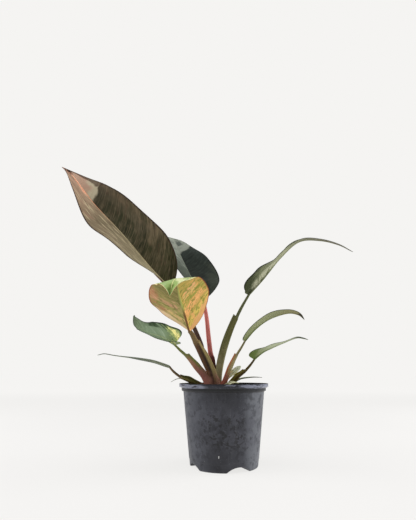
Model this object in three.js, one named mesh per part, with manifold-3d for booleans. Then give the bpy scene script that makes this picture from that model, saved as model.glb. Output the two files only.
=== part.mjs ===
// A philodendron with eight leaves in a plain nursery pot. Millimetres, +Z up.
// The origin is the middle of the pot's foot, on the surface that the pot stands on.
// The front of the pot, where the marbled leaf leans out, looks along -Y.

import * as THREE from "three";
import { mergeVertices } from "three/addons/utils/BufferGeometryUtils.js";
import Module from "manifold-3d";

const wasm = await Module();
wasm.setup();

// Clearance between pieces that touch
const GAP = 0.3;

// Pot: outer radii and heights of one moulded shell
const POT_HEIGHT = 112.5;
const POT_WALL = 1.8;
const POT_SIDES = 48;
const RIM_RADIUS = 63.7;
const RIM_DEPTH = 6.2;
const RIM_ROUND = 1.2;
const SHOULDER_RADIUS = 59.2;
const SHOULDER_DEPTH = 4.6;
const WALL_TOP_RADIUS = 56.8;
const FOOT_RADIUS = 47.2;
const FOOT_ROUND = 2.2;
const BAND_ROUND = 0.7;

// Drain: four arched channels under the base, each with a hole into the pot
const CHANNELS = 4;
const CHANNEL_TURN = -66.5;
const CHANNEL_WIDTH = 33;
const CHANNEL_HEIGHT = 6.6;
const CHANNEL_START = 19;
const CHANNEL_END = 60;
const ARCH_STEPS = 10;
const DRAIN_RADIUS = 5;
const DRAIN_SIDES = 16;
const DRAIN_AT = 34;

// Potting mix
const MIX_TOP = 96;
const MIX_BUMP = 1.3;
const MIX_SIDES = 36;
const MIX_RINGS = [0.94, 0.82, 0.68, 0.52, 0.36, 0.2];
const MIX_MARK = 0.2;

// Clods on the mix: each row's first value is a wave's length along X and the second along Y
const WIDE_CLODS = [5, 6];
const FINE_CLODS = [[2, 3], [-3.5, 2.5]];

// Crown: the short stem that carries every stalk
const CROWN_AT = [-8, -1];
const CROWN_FOOT = 62;
const CROWN_RADIUS = 8.5;
const CROWN_SIDES = 20;
const CROWN_TOP = 122;

// The crown's steps: height above its foot and the share of its full radius
const CROWN_STEPS = [[0, 0.75], [22, 1], [41, 1], [49, 0.7], [57, 0.3]];

// Leaves: blade thickness, midrib ridge below, and the mesh's rows
const BLADE_THICK = 0.8;
const RIB_DEEP = 1.7;
const RIB_EDGE = 0.35;
const LOBE_FADE = 6;
const LOBE_SPREAD = 1.5;
const WAVE_OFFSET = 1.7;
const WAVE_FADE = 1.5;
const ROW_CROWDING = 1.25;
const BLADE_COLUMNS = [-1, -0.78, -0.52, -0.27, -0.07, 0, 0.07, 0.27, 0.52, 0.78, 1];
const STALK_ROWS = 15;
const STALK_ARC = 5;
const LIP_SHARE = 0.35;
const LIP_MAX = 1.2;
const LIP_POINT = 4;
const SMALL_COLUMNS = [-1, -0.5, 0, 0.5, 1];
const PLAIN_BLADE = { rib: 0, lobe: 0, wave: [0, 1], curl: [0] };

// Plain colours and roughness
const POT_LOOK = [0x46464b, 0.6];
const MIX_LOOK = [0x2a2320, 0.95];
const CROWN_LOOK = [0x8a6a5a, 0.6];
const STALK_ROUGHNESS = 0.5;
const SMALL_ROUGHNESS = 0.7;

// A blade runs along its midrib's points from its base to its tip. upperFace says which way the upper
// face looks, foldLeft and foldRight how many degrees each half rises from the midrib's level, and curl how
// far a half turns on towards its margin. Each of these lists is spread evenly from base to tip. widest is
// the share of the length where the blade is widest, blunt shapes the base and slender the tip.
// lobe sweeps the margins back past the stalk, and wave is the height and count of the margin's waves.
// A stalk runs along its path's points from the crown to the blade. Its section's rows are: share of the
// length, half width, back, lip height and floor. A floor below the lips is the sheath's channel.
// sheathEnd is where the sheath's free lips stop, and free how far they stand past that.
const LEAVES = {
  bronze_leaf: {
    blade: {
      midrib: [[-77, -6, 249], [-103, -4, 276], [-150, -1, 332],
        [-195, 1, 381], [-230, 2, 426], [-246, 3, 440]],
      upperFace: [[0.5, -0.69, 0.52], [0.46, -0.74, 0.49], [0.36, -0.83, 0.42], [0.46, -0.74, 0.48]],
      halfWidth: 57.6, widest: 0.34, blunt: 1.02, slender: 0.72, lobe: 3, wave: [0.8, 3], rows: 18,
      foldLeft: [39, 32, 22, 35, 36], foldRight: [34, 22, 18, 24, -15], curl: [-6],
    },
    stalk: {
      path: [[-14, 5, 103], [-22, 4, 140], [-35, 2, 177], [-54, -2, 216], [-73, -5, 243], [-77, -6, 249]],
      upperFace: [[0.8, 0.3, 0.2], [0.8, -0.2, 0.4], [0.5, -0.69, 0.52]],
      section: [[0, 8, 4, 6, -2], [0.3, 5.5, 4, 3, -1], [0.42, 4.2, 4, 0.5, 2.5],
        [0.9, 3.4, 3.2, 0.5, 2.5], [1, 3, 2.6, 0.5, 1.2]],
      sheathEnd: 0.34, free: 3,
    },
    colour: 0x4a4236, stalkColour: 0x3a2a22, roughness: 0.35,
  },
  dark_leaf: {
    blade: {
      midrib: [[-29, 18, 237], [-44, 45, 268], [-61, 90, 309], [-87, 130, 371]],
      upperFace: [[0.45, -0.59, 0.67], [0.4, -0.62, 0.67], [0.37, -0.64, 0.67]],
      halfWidth: 49.3, widest: 0.43, blunt: 0.78, slender: 0.3, lobe: 8, wave: [0.8, 2], rows: 15,
      foldLeft: [25, 28, 20, 10], foldRight: [37, 18, 21, -3], curl: [-6],
    },
    stalk: {
      path: [[-11, 13, 103], [-16, 14, 137], [-21, 16, 178],
        [-24, 17, 208], [-28, 18, 231], [-29, 18, 237]],
      upperFace: [[0.5, -0.6, 0.2], [0.45, -0.7, 0.3], [0.45, -0.59, 0.67]],
      section: [[0, 7, 4, 5, -2], [0.3, 4.5, 4, 3, -1], [0.42, 3.8, 3.6, 0.5, 2.5],
        [0.9, 3.2, 3, 0.5, 2.2], [1, 2.8, 2.4, 0.5, 1.2]],
      sheathEnd: 0.34, free: 3,
    },
    colour: 0x2b3434, stalkColour: 0x9c4a48, roughness: 0.4,
  },
  marbled_leaf: {
    blade: {
      midrib: [[-47, -35, 183], [-53, -58, 204], [-58, -84, 222],
        [-60, -112, 237], [-63, -128, 227], [-64, -142, 209]],
      upperFace: [[-0.1, 0.75, 0.7], [-0.1, 0.6, 0.75], [-0.05, 0, 1], [-0.1, -0.8, 0.6]],
      halfWidth: 38, widest: 0.43, blunt: 1, slender: 0.97, lobe: 0, wave: [0.4, 3], rows: 18,
      foldLeft: [-5, 12, 7, -2, 50], foldRight: [33, 16, 0, -12, 51], curl: [0],
    },
    stalk: {
      path: [[-14, -9, 103], [-18, -14, 124], [-28, -20, 147],
        [-38, -27, 167], [-44, -33, 179], [-47, -35, 183]],
      upperFace: [[0.8, 0.3, 0.2], [0.5, 0.5, 0.4], [-0.1, 0.75, 0.7]],
      section: [[0, 8, 4.5, 6, -2], [0.5, 7, 4.5, 5, -2], [0.78, 5, 4, 3, 1],
        [0.86, 3.6, 3.4, 0.5, 2.5], [1, 3, 2.6, 0.5, 1.2]],
      sheathEnd: 0.78, free: 4,
    },
    colour: 0xa08a4a, stalkColour: 0x54402a, roughness: 0.45,
  },
  splashed_leaf: {
    blade: {
      midrib: [[-68, -18, 166], [-84, -24, 175], [-106, -30, 182],
        [-120, -36, 192], [-122, -40, 196], [-122, -44, 202]],
      upperFace: [[0.2, -0.2, 0.9], [0.25, -0.2, 0.9], [0.6, -0.2, 0.7]],
      halfWidth: 26.7, widest: 0.3, blunt: 0.28, slender: 0.4, lobe: 5, wave: [0.8, 2], rows: 15,
      foldLeft: [22, 1, 2, 0, -14], foldRight: [63, 42, 33, 22, 19], curl: [0],
    },
    stalk: {
      path: [[-21, -8, 103], [-28, -8, 121], [-39, -11, 135],
        [-50, -14, 149], [-60, -16, 158], [-68, -18, 166]],
      upperFace: [[0.7, -0.1, 0.5], [0.5, -0.1, 0.8], [0.2, -0.2, 0.9]],
      section: [[0, 6, 3.5, 7, -1], [0.45, 6, 3.5, 6.5, -1], [0.68, 4.5, 3, 4, 0],
        [0.78, 2.6, 2.4, 0.5, 1.6], [1, 2.2, 2, 0.3, 1]],
      sheathEnd: 0.68, free: 4,
    },
    colour: 0x6a7a66, stalkColour: 0x6a6034, roughness: 0.5,
  },
  low_left_leaf: {
    blade: {
      midrib: [[-76, -10, 136], [-99, -14, 144], [-127, -18, 148],
        [-151, -22, 151], [-165, -24, 153], [-173, -26, 151]],
      upperFace: [[0.1, 0.05, 1], [0.1, 0, 1], [0, 0, 1]],
      halfWidth: 22, widest: 0.35, blunt: 0.5, slender: 1.1, lobe: 5, wave: [0.4, 2], rows: 14,
      foldLeft: [-14, -4, 2], foldRight: [10, 4, 0], curl: [-3],
    },
    stalk: {
      path: [[-20, 4, 102], [-30, 3, 106], [-38, 1, 110], [-50, -4, 117],
        [-61, -8, 122], [-70, -9, 129], [-76, -10, 136]],
      upperFace: [[0.5, -0.2, 0.7], [0.3, -0.3, 0.8], [0.1, -0.1, 1]],
      section: [[0, 6, 2.8, 5, -1], [0.45, 7, 2.8, 4, -1.4], [0.66, 5, 2.4, 2, 0],
        [0.74, 2.4, 2.1, 0.4, 1.5], [1, 2.1, 1.9, 0.3, 1]],
      sheathEnd: 0.66, free: 3,
    },
    colour: 0x7c8478, stalkColour: 0x5c4a2c, roughness: 0.5,
  },
  tall_right_leaf: {
    blade: {
      midrib: [[38, 10, 242], [59, 8, 265], [86, 4, 298], [114, 0, 321],
        [143, -4, 321], [169, -8, 313], [188, -12, 301]],
      upperFace: [[-0.76, 0, 0.64], [-0.74, 0, 0.6], [0.05, -0.31, 0.92], [0.45, -0.37, 0.8]],
      halfWidth: 29, widest: 0.25, blunt: 0.57, slender: 0.97, lobe: 2, wave: [0.3, 3], rows: 18,
      foldLeft: [28, 24, 5, 8, 8, 8, 8], foldRight: [43, 31, 5, 10, 8, 10, 11], curl: [0],
    },
    stalk: {
      path: [[-7, 5, 103], [-6, 7, 126], [1, 8, 159], [12, 9, 191], [26, 10, 221], [38, 10, 242]],
      upperFace: [[-0.7, 0.1, 0.2], [-0.9, 0.1, 0.3], [-0.76, 0, 0.64]],
      section: [[0, 6.2, 4.5, 5, -1], [0.4, 6.8, 4.2, 6, -1], [0.72, 5.4, 3.6, 5.4, 0],
        [0.76, 2.9, 2.7, 1, 2], [1, 2.3, 2.2, 0.5, 1.4]],
      sheathEnd: 0.72, free: 5,
    },
    colour: 0x6e7456, stalkColour: 0x55552e, roughness: 0.45,
  },
  mid_right_leaf: {
    blade: {
      midrib: [[31, 2, 173], [44, 0, 188], [59, -2, 200], [73, -4, 207],
        [95, -7, 212], [108, -9, 209], [115, -10, 202]],
      upperFace: [[-0.6, 0, 0.75], [-0.5, 0, 0.85], [0.1, 0, 1], [0.6, 0, 0.8]],
      halfWidth: 23, widest: 0.35, blunt: 0.45, slender: 0.8, lobe: 5, wave: [0.3, 2], rows: 15,
      foldLeft: [16, 12, 6], foldRight: [18, 15, 13], curl: [0],
    },
    stalk: {
      path: [[-3, -2, 104], [3, -1, 116], [10, 0, 134], [18, 1, 151], [26, 2, 164], [31, 2, 173]],
      upperFace: [[-0.8, 0.1, 0.3], [-0.8, 0.1, 0.4], [-0.6, 0, 0.75]],
      section: [[0, 5, 3, 4.5, -1], [0.4, 4.4, 2.8, 4.4, -1], [0.66, 3.4, 2.4, 3.4, 0],
        [0.71, 2.1, 2, 0.6, 1.6], [1, 1.9, 1.8, 0.3, 1]],
      sheathEnd: 0.66, free: 4,
    },
    colour: 0x87906a, stalkColour: 0x6b5530, roughness: 0.5,
  },
  low_right_leaf: {
    blade: {
      midrib: [[43, -6, 146], [55, -10, 156], [67, -14, 162], [81, -18, 168],
        [101, -24, 175], [108, -26, 174], [115, -28, 172]],
      upperFace: [[-0.5, 0, 0.8], [-0.4, 0, 0.9], [0, 0, 1]],
      halfWidth: 20, widest: 0.3, blunt: 0.4, slender: 0.8, lobe: 4, wave: [0.3, 2], rows: 14,
      foldLeft: [18, 4, 2, 4], foldRight: [42, 14, 4, 10], curl: [0],
    },
    stalk: {
      path: [[-4, -7, 103], [4, -7, 106], [10, -7, 111], [20, -8, 122],
        [30, -7, 130], [38, -6, 139], [43, -6, 146]],
      upperFace: [[-0.6, -0.1, 0.6], [-0.5, -0.1, 0.8], [-0.5, 0, 0.8]],
      section: [[0, 5, 2.8, 4.5, -1], [0.45, 5.5, 2.8, 4.5, -1], [0.64, 4.5, 2.4, 3.5, 0],
        [0.73, 2.4, 2.1, 0.6, 1.6], [1, 2, 1.9, 0.3, 1]],
      sheathEnd: 0.64, free: 3,
    },
    colour: 0x7f8f62, stalkColour: 0x4c4018, roughness: 0.5,
  },
};

// Small leaves at the crown: one pale sprout and three dry scale leaves
const SMALL_LEAVES = {
  sprout_leaf: {
    midrib: [[-4, 5, 108], [4, 9, 116], [11, 12, 123], [19, 14, 131], [26, 16, 137]],
    upperFace: [[-0.5, -0.8, 0.5], [-0.3, -0.9, 0.3]],
    halfWidth: 4.6, widest: 0.72, blunt: 1.2, slender: 0.6, fold: [30, 20], rows: 9, colour: 0xa9b795,
  },
  scale_leaf_right: {
    midrib: [[-6, 2, 104], [11, 8, 110], [24, 10, 118], [34, 10, 120], [46, 10, 121], [56, 9, 120.5]],
    upperFace: [[-0.4, -0.2, 0.9], [0, -0.2, 1]],
    halfWidth: 2.4, widest: 0.4, blunt: 0.5, slender: 0.9, fold: [30, 20], rows: 9, colour: 0x7d826c,
  },
  scale_leaf_front: {
    midrib: [[-5, -8, 103], [3, -16, 110], [11, -20, 114], [21, -24, 113]],
    upperFace: [[0.2, -0.9, 0.4], [0.2, -0.8, 0.6]],
    halfWidth: 2.6, widest: 0.4, blunt: 0.5, slender: 0.9, fold: [20, 10], rows: 8, colour: 0xc4c4a2,
  },
  scale_leaf_left: {
    midrib: [[-14, 4, 103], [-41, 14, 111], [-57, 15, 118.5], [-67, 15, 118.5], [-76, 15, 114]],
    upperFace: [[0.3, -0.2, 0.9], [0, -0.2, 1]],
    halfWidth: 2, widest: 0.4, blunt: 0.5, slender: 0.9, fold: [30, 20], rows: 9, colour: 0xb5b5a6,
  },
};

function vector(row) {
  return new THREE.Vector3(...row);
}

function smooth(share) {
  return share * share * (3 - 2 * share);
}

// The value at a share of the length, from numbers or vectors spread evenly from 0 to 1
function spread(values, share) {
  if (values.length === 1) return values[0];
  const place = share * (values.length - 1);
  const index = Math.min(Math.floor(place), values.length - 2);
  const blend = smooth(place - index);
  const low = values[index];
  const high = values[index + 1];
  if (Array.isArray(low)) return low.map((value, axis) => value * (1 - blend) + high[axis] * blend);
  return low * (1 - blend) + high * blend;
}

// A stalk section's row at a share of the length
function sectionAt(rows, share) {
  const next = rows.findIndex((row) => row[0] >= share);
  if (next === 0) return rows[0].slice(1);
  if (next < 0) return rows[rows.length - 1].slice(1);
  const low = rows[next - 1];
  const high = rows[next];
  const blend = smooth((share - low[0]) / (high[0] - low[0]));
  return low.slice(1).map((value, place) => value * (1 - blend) + high[place + 1] * blend);
}

// Along, up and sideways directions at a share of a curve
function frameAt(curve, upperFace, share) {
  const along = curve.getTangentAt(share);
  const up = vector(spread(upperFace, share));
  up.addScaledVector(along, -up.dot(along)).normalize();
  return { along, up, side: new THREE.Vector3().crossVectors(along, up) };
}

function curveThrough(points) {
  return new THREE.CatmullRomCurve3(points.map(vector), false, "centripetal");
}

function geometryOf(positions, triangles) {
  const geometry = new THREE.BufferGeometry();
  geometry.setAttribute("position", new THREE.Float32BufferAttribute(positions, 3));
  geometry.setIndex(triangles);
  return geometry;
}

// Share of the full half width at a share of the length
function widthShare(blade, share) {
  const power = Math.log(0.5) / Math.log(blade.widest);
  const wave = Math.max(Math.sin(Math.PI * share ** power), 0);
  return wave ** (share < blade.widest ? blade.blunt : blade.slender);
}

// A point of a blade's middle surface, and the surface's direction up
function bladePoint(blade, curve, share, across) {
  const { along, up, side } = frameAt(curve, blade.upperFace, share);
  const hand = across < 0 ? -1 : 1;
  const width = blade.halfWidth * widthShare(blade, share);
  const reach = Math.abs(across) * width;
  const folds = across < 0 ? blade.foldLeft : blade.foldRight;
  const fold = THREE.MathUtils.degToRad(spread(folds, share));
  const turn = THREE.MathUtils.degToRad(spread(blade.curl, share)) / blade.halfWidth;
  const last = fold + turn * reach;
  const out = turn === 0 ? reach * Math.cos(fold) : (Math.sin(last) - Math.sin(fold)) / turn;
  const rise = turn === 0 ? reach * Math.sin(fold) : (Math.cos(fold) - Math.cos(last)) / turn;
  const point = curve.getPointAt(share);
  point.addScaledVector(side, hand * out).addScaledVector(up, rise);
  const sweep = (1 - share) ** LOBE_FADE * Math.abs(across) ** LOBE_SPREAD * (width / blade.halfWidth);
  point.addScaledVector(along, -blade.lobe * sweep);
  const [height, count] = blade.wave;
  const phase = 2 * Math.PI * count * share + (across < 0 ? 0 : WAVE_OFFSET);
  const fade = Math.min(1, (WAVE_FADE * width) / blade.halfWidth);
  point.addScaledVector(up, height * across * across * Math.sin(phase) * fade);
  const lift = across === 0 ? 0 : last;
  const normal = up.clone().multiplyScalar(Math.cos(lift)).addScaledVector(side, -hand * Math.sin(lift));
  return { point, normal };
}

// A thin closed blade. Both faces have the same rows, columns and diagonals, and each end is one corner.
function bladeGeometry(blade, columns) {
  const curve = curveThrough(blade.midrib);
  const positions = [];
  const triangles = [];
  const middle = columns.indexOf(0);
  const grid = [[], []];
  for (let row = 0; row <= blade.rows; row += 1) {
    const share = (row / blade.rows) ** ROW_CROWDING;
    const pole = row === 0 || row === blade.rows;
    for (const face of [0, 1]) {
      grid[face][row] = columns.map((across, column) => {
        if (pole && column > 0) return positions.length / 3 - 1;
        const place = pole ? 0 : across;
        const { point, normal } = bladePoint(blade, curve, share, place);
        const beside = Math.abs(column - middle) === 1 ? RIB_EDGE : 0;
        const rib = blade.rib * (1 - share) * (place === 0 ? 1 : beside);
        point.addScaledVector(normal, face === 0 ? BLADE_THICK / 2 : -BLADE_THICK / 2 - rib);
        positions.push(point.x, point.y, point.z);
        return positions.length / 3 - 1;
      });
    }
  }
  const face = (a, b, c) => {
    if (a !== b && b !== c && a !== c) triangles.push(a, b, c);
  };
  const quad = (a, b, c, d) => {
    face(a, b, c);
    face(a, c, d);
  };
  const [top, bottom] = grid;
  const last = columns.length - 1;
  for (let row = 0; row < blade.rows; row += 1) {
    for (let column = 0; column < last; column += 1) {
      quad(top[row][column], top[row][column + 1], top[row + 1][column + 1], top[row + 1][column]);
      face(bottom[row][column], bottom[row + 1][column + 1], bottom[row][column + 1]);
      face(bottom[row][column], bottom[row + 1][column], bottom[row + 1][column + 1]);
    }
    quad(top[row][0], top[row + 1][0], bottom[row + 1][0], bottom[row][0]);
    quad(top[row][last], bottom[row][last], bottom[row + 1][last], top[row + 1][last]);
  }
  return geometryOf(positions, triangles);
}

// A stalk with its sheath: one closed skin over sections of an outer arc and an inner arc.
// grow makes it fatter all round, to cut its seat from a neighbour.
function stalkGeometry(stalk, grow) {
  const curve = curveThrough(stalk.path);
  const short = (GAP - grow) / curve.getLength();
  const positions = [];
  const triangles = [];
  const count = 2 * (STALK_ARC + 1);
  for (let row = 0; row <= STALK_ROWS; row += 1) {
    const share = (row / STALK_ROWS) * (1 - Math.max(short, 0));
    const { along, up, side } = frameAt(curve, stalk.upperFace, share);
    const [half, back, lip, floor] = sectionAt(stalk.section, share);
    const lipWidth = Math.min(half * LIP_SHARE, LIP_MAX);
    const centre = curve.getPointAt(share);
    const past = stalk.sheathEnd - share;
    const free = past >= 0 && past < 1 / STALK_ROWS ? stalk.free : 0;
    const add = (sideways, upwards, edge) => {
      const point = centre.clone().addScaledVector(side, sideways).addScaledVector(up, upwards);
      point.addScaledVector(along, free * edge ** LIP_POINT);
      positions.push(point.x, point.y, point.z);
    };
    for (let step = 0; step <= STALK_ARC; step += 1) {
      const angle = (Math.PI * step) / STALK_ARC;
      const rise = lip + grow - (lip + back + 2 * grow) * Math.sin(angle);
      add((half + grow) * Math.cos(angle), rise, Math.abs(Math.cos(angle)));
    }
    for (let step = 0; step <= STALK_ARC; step += 1) {
      const angle = Math.PI * (1 - step / STALK_ARC);
      const rise = lip + grow + (floor - lip) * Math.sin(angle);
      add((half - lipWidth - grow) * Math.cos(angle), rise, Math.abs(Math.cos(angle)));
    }
  }
  for (let row = 0; row < STALK_ROWS; row += 1) {
    for (let step = 0; step < count; step += 1) {
      const a = row * count + step;
      const b = row * count + ((step + 1) % count);
      triangles.push(a, a + count, b + count, a, b + count, b);
    }
  }
  const end = STALK_ROWS * count;
  for (let step = 0; step < STALK_ARC; step += 1) {
    const mirror = count - 1 - step;
    triangles.push(step, step + 1, mirror - 1, step, mirror - 1, mirror);
    triangles.push(end + step, end + mirror - 1, end + step + 1, end + step, end + mirror, end + mirror - 1);
  }
  return geometryOf(positions, triangles);
}

// A body turned about the Z axis, from its profile's radius and height pairs
function turned(profile, sides, at = [0, 0]) {
  const corners = profile.map(([radius, height]) => new THREE.Vector2(radius, height));
  const geometry = new THREE.LatheGeometry(corners, sides);
  geometry.rotateX(Math.PI / 2);
  geometry.translate(at[0], at[1], 0);
  return geometry;
}

function solidOf(geometry) {
  const bare = geometry.clone();
  bare.deleteAttribute("normal");
  bare.deleteAttribute("uv");
  const merged = mergeVertices(bare, 1e-4);
  const solid = new wasm.Manifold(new wasm.Mesh({
    numProp: 3,
    vertProperties: new Float32Array(merged.attributes.position.array),
    triVerts: new Uint32Array(merged.index.array),
  }));
  return solid.volume() < 0 ? solidOf(flipped(merged)) : solid;
}

function flipped(geometry) {
  const turnedAround = geometry.clone();
  const { array } = turnedAround.index;
  for (let place = 0; place < array.length; place += 3) {
    const keep = array[place];
    array[place] = array[place + 1];
    array[place + 1] = keep;
  }
  return turnedAround;
}

// The largest body of a solid: what a cut leaves loose is dropped
function largest(solid) {
  return solid.decompose().reduce((best, body) => (body.volume() > best.volume() ? body : best));
}

function geometryFrom(solid) {
  const mesh = solid.getMesh();
  return geometryOf(mesh.vertProperties, Array.from(mesh.triVerts));
}

const group = new THREE.Group();

function addPiece(name, geometry, color, roughness) {
  const mesh = new THREE.Mesh(geometry, new THREE.MeshStandardMaterial({ color, roughness, metalness: 0 }));
  mesh.name = name;
  group.add(mesh);
}

// Outer radius of the pot's plain wall at a height
function wallRadius(height) {
  const top = POT_HEIGHT - RIM_DEPTH - SHOULDER_DEPTH;
  return THREE.MathUtils.lerp(FOOT_RADIUS, WALL_TOP_RADIUS, height / top);
}

function potOuter() {
  const shoulder = POT_HEIGHT - RIM_DEPTH;
  const wallTop = shoulder - SHOULDER_DEPTH;
  return turned([
    [0, 0],
    [FOOT_RADIUS - FOOT_ROUND, 0],
    [FOOT_RADIUS - FOOT_ROUND / 3, FOOT_ROUND / 3],
    [wallRadius(FOOT_ROUND), FOOT_ROUND],
    [WALL_TOP_RADIUS, wallTop],
    [SHOULDER_RADIUS - BAND_ROUND, wallTop + BAND_ROUND],
    [SHOULDER_RADIUS, shoulder],
    [RIM_RADIUS - RIM_ROUND, shoulder + GAP],
    [RIM_RADIUS, shoulder + RIM_ROUND],
    [RIM_RADIUS, POT_HEIGHT - RIM_ROUND],
    [RIM_RADIUS - RIM_ROUND, POT_HEIGHT],
    [0, POT_HEIGHT],
  ], POT_SIDES);
}

// The room inside the pot, or with spare above 0 the mix's outside, which keeps clear of the wall
function potInside(top, spare) {
  const floor = POT_WALL + spare;
  const wallTop = POT_HEIGHT - RIM_DEPTH - SHOULDER_DEPTH;
  const profile = [[0, floor], [wallRadius(floor) - POT_WALL - spare, floor]];
  if (top > wallTop) {
    profile.push([WALL_TOP_RADIUS - POT_WALL - spare, wallTop]);
    profile.push([SHOULDER_RADIUS - POT_WALL - spare, wallTop + POT_WALL]);
    profile.push([SHOULDER_RADIUS - POT_WALL - spare, POT_HEIGHT - RIM_DEPTH]);
    profile.push([RIM_RADIUS - 2 * RIM_ROUND - spare, POT_HEIGHT - RIM_ROUND]);
    profile.push([RIM_RADIUS - 2 * RIM_ROUND - spare, top]);
  } else {
    profile.push([wallRadius(top) - POT_WALL - spare, top]);
  }
  return profile.concat([[0, top]]);
}

// One arched bar under the base, pointing outwards, grown by a wall's thickness for its roof
function archBar(turn, grow) {
  const radius = (CHANNEL_WIDTH ** 2 / 4 + CHANNEL_HEIGHT ** 2) / (2 * CHANNEL_HEIGHT);
  const centre = CHANNEL_HEIGHT - radius;
  const half = Math.asin((CHANNEL_WIDTH / 2 + grow) / (radius + grow));
  const shape = new THREE.Shape();
  const edge = (radius + grow) * Math.sin(half);
  shape.moveTo(edge, -1);
  for (let step = 0; step <= ARCH_STEPS; step += 1) {
    const angle = half * (1 - (2 * step) / ARCH_STEPS);
    shape.lineTo((radius + grow) * Math.sin(angle), centre + (radius + grow) * Math.cos(angle));
  }
  shape.lineTo(-edge, -1);
  const start = CHANNEL_START - grow;
  const bar = new THREE.ExtrudeGeometry(shape, { depth: CHANNEL_END - start, bevelEnabled: false });
  bar.rotateX(Math.PI / 2);
  bar.translate(0, -start, 0);
  bar.rotateZ(turn);
  return solidOf(bar);
}

function drainHole(turn) {
  const hole = new THREE.CylinderGeometry(DRAIN_RADIUS, DRAIN_RADIUS, 4 * CHANNEL_HEIGHT, DRAIN_SIDES);
  hole.rotateX(Math.PI / 2);
  hole.translate(0, -DRAIN_AT, CHANNEL_HEIGHT);
  hole.rotateZ(turn);
  return solidOf(hole);
}

function channelTurns() {
  return Array.from({ length: CHANNELS }, (_, place) =>
    THREE.MathUtils.degToRad(CHANNEL_TURN + (360 / CHANNELS) * place));
}

function buildPot() {
  let room = solidOf(turned(potInside(POT_HEIGHT + 1, 0), POT_SIDES));
  for (const turn of channelTurns()) room = room.subtract(archBar(turn, POT_WALL));
  let pot = solidOf(potOuter()).subtract(room);
  for (const turn of channelTurns()) pot = pot.subtract(archBar(turn, 0)).subtract(drainHole(turn));
  addPiece("nursery_pot", geometryFrom(largest(pot)), ...POT_LOOK);
}

function crownProfile(grow) {
  const steps = CROWN_STEPS.map(([height, share]) => [CROWN_RADIUS * share + grow, CROWN_FOOT + height]);
  steps[0][1] -= grow;
  return [[0, CROWN_FOOT - grow], ...steps, [0, CROWN_TOP + grow]];
}

// Height of the mix's clods above its level: wide waves with smaller, slanting ones on them
function bump(x, y) {
  const wide = Math.sin(x / WIDE_CLODS[0]) * Math.cos(y / WIDE_CLODS[1]);
  const [first, second] = FINE_CLODS.map(([alongX, alongY]) => x / alongX + y / alongY);
  return (MIX_BUMP * (wide + Math.sin(first) * Math.cos(second))) / 2;
}

function buildMix(crownSeat) {
  const profile = potInside(MIX_TOP, GAP);
  const edge = profile[profile.length - 2][0];
  const top = MIX_RINGS.map((share) => [edge * share, MIX_TOP + MIX_MARK]);
  const geometry = turned([...profile.slice(0, -1), ...top, [0, MIX_TOP + MIX_MARK]], MIX_SIDES);
  const { position } = geometry.attributes;
  for (let place = 0; place < position.count; place += 1) {
    if (position.getZ(place) > MIX_TOP + MIX_MARK / 2) {
      position.setZ(place, MIX_TOP + bump(position.getX(place), position.getY(place)));
    }
  }
  let mix = solidOf(geometry);
  for (const turn of channelTurns()) mix = mix.subtract(archBar(turn, POT_WALL + GAP));
  mix = mix.subtract(crownSeat);
  addPiece("potting_mix", geometryFrom(largest(mix)), ...MIX_LOOK);
}

// Stalks from the crown outwards: each is cut clear of the crown and of the stalks before it
function buildPlant(crownSeat) {
  addPiece("crown_stem", turned(crownProfile(0), CROWN_SIDES, CROWN_AT), ...CROWN_LOOK);
  const seats = [crownSeat];
  for (const [name, leaf] of Object.entries(LEAVES)) {
    let stalk = solidOf(stalkGeometry(leaf.stalk, 0));
    for (const seat of seats) stalk = stalk.subtract(seat);
    addPiece(`${name}_stalk`, geometryFrom(largest(stalk)), leaf.stalkColour, STALK_ROUGHNESS);
    seats.push(solidOf(stalkGeometry(leaf.stalk, GAP)));
  }
  for (const [name, leaf] of Object.entries(LEAVES)) {
    let blade = solidOf(bladeGeometry({ ...leaf.blade, rib: RIB_DEEP }, BLADE_COLUMNS));
    for (const seat of seats) blade = blade.subtract(seat);
    addPiece(`${name}_blade`, geometryFrom(largest(blade)), leaf.colour, leaf.roughness);
  }
  for (const [name, small] of Object.entries(SMALL_LEAVES)) {
    const blade = { ...PLAIN_BLADE, ...small, foldLeft: small.fold, foldRight: small.fold };
    let body = solidOf(bladeGeometry(blade, SMALL_COLUMNS));
    for (const seat of seats) body = body.subtract(seat);
    addPiece(name, geometryFrom(largest(body)), small.colour, SMALL_ROUGHNESS);
  }
}

const crownSeat = solidOf(turned(crownProfile(GAP), CROWN_SIDES, CROWN_AT));
buildPot();
buildMix(crownSeat);
buildPlant(crownSeat);

export default group;
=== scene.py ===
"""Finer pieces and finishes for a potted philodendron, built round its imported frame."""

import logging
import math
import random
from dataclasses import dataclass
from enum import Enum
from typing import Sequence

import bmesh
import bpy
from mathutils import Matrix, Vector, noise


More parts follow.
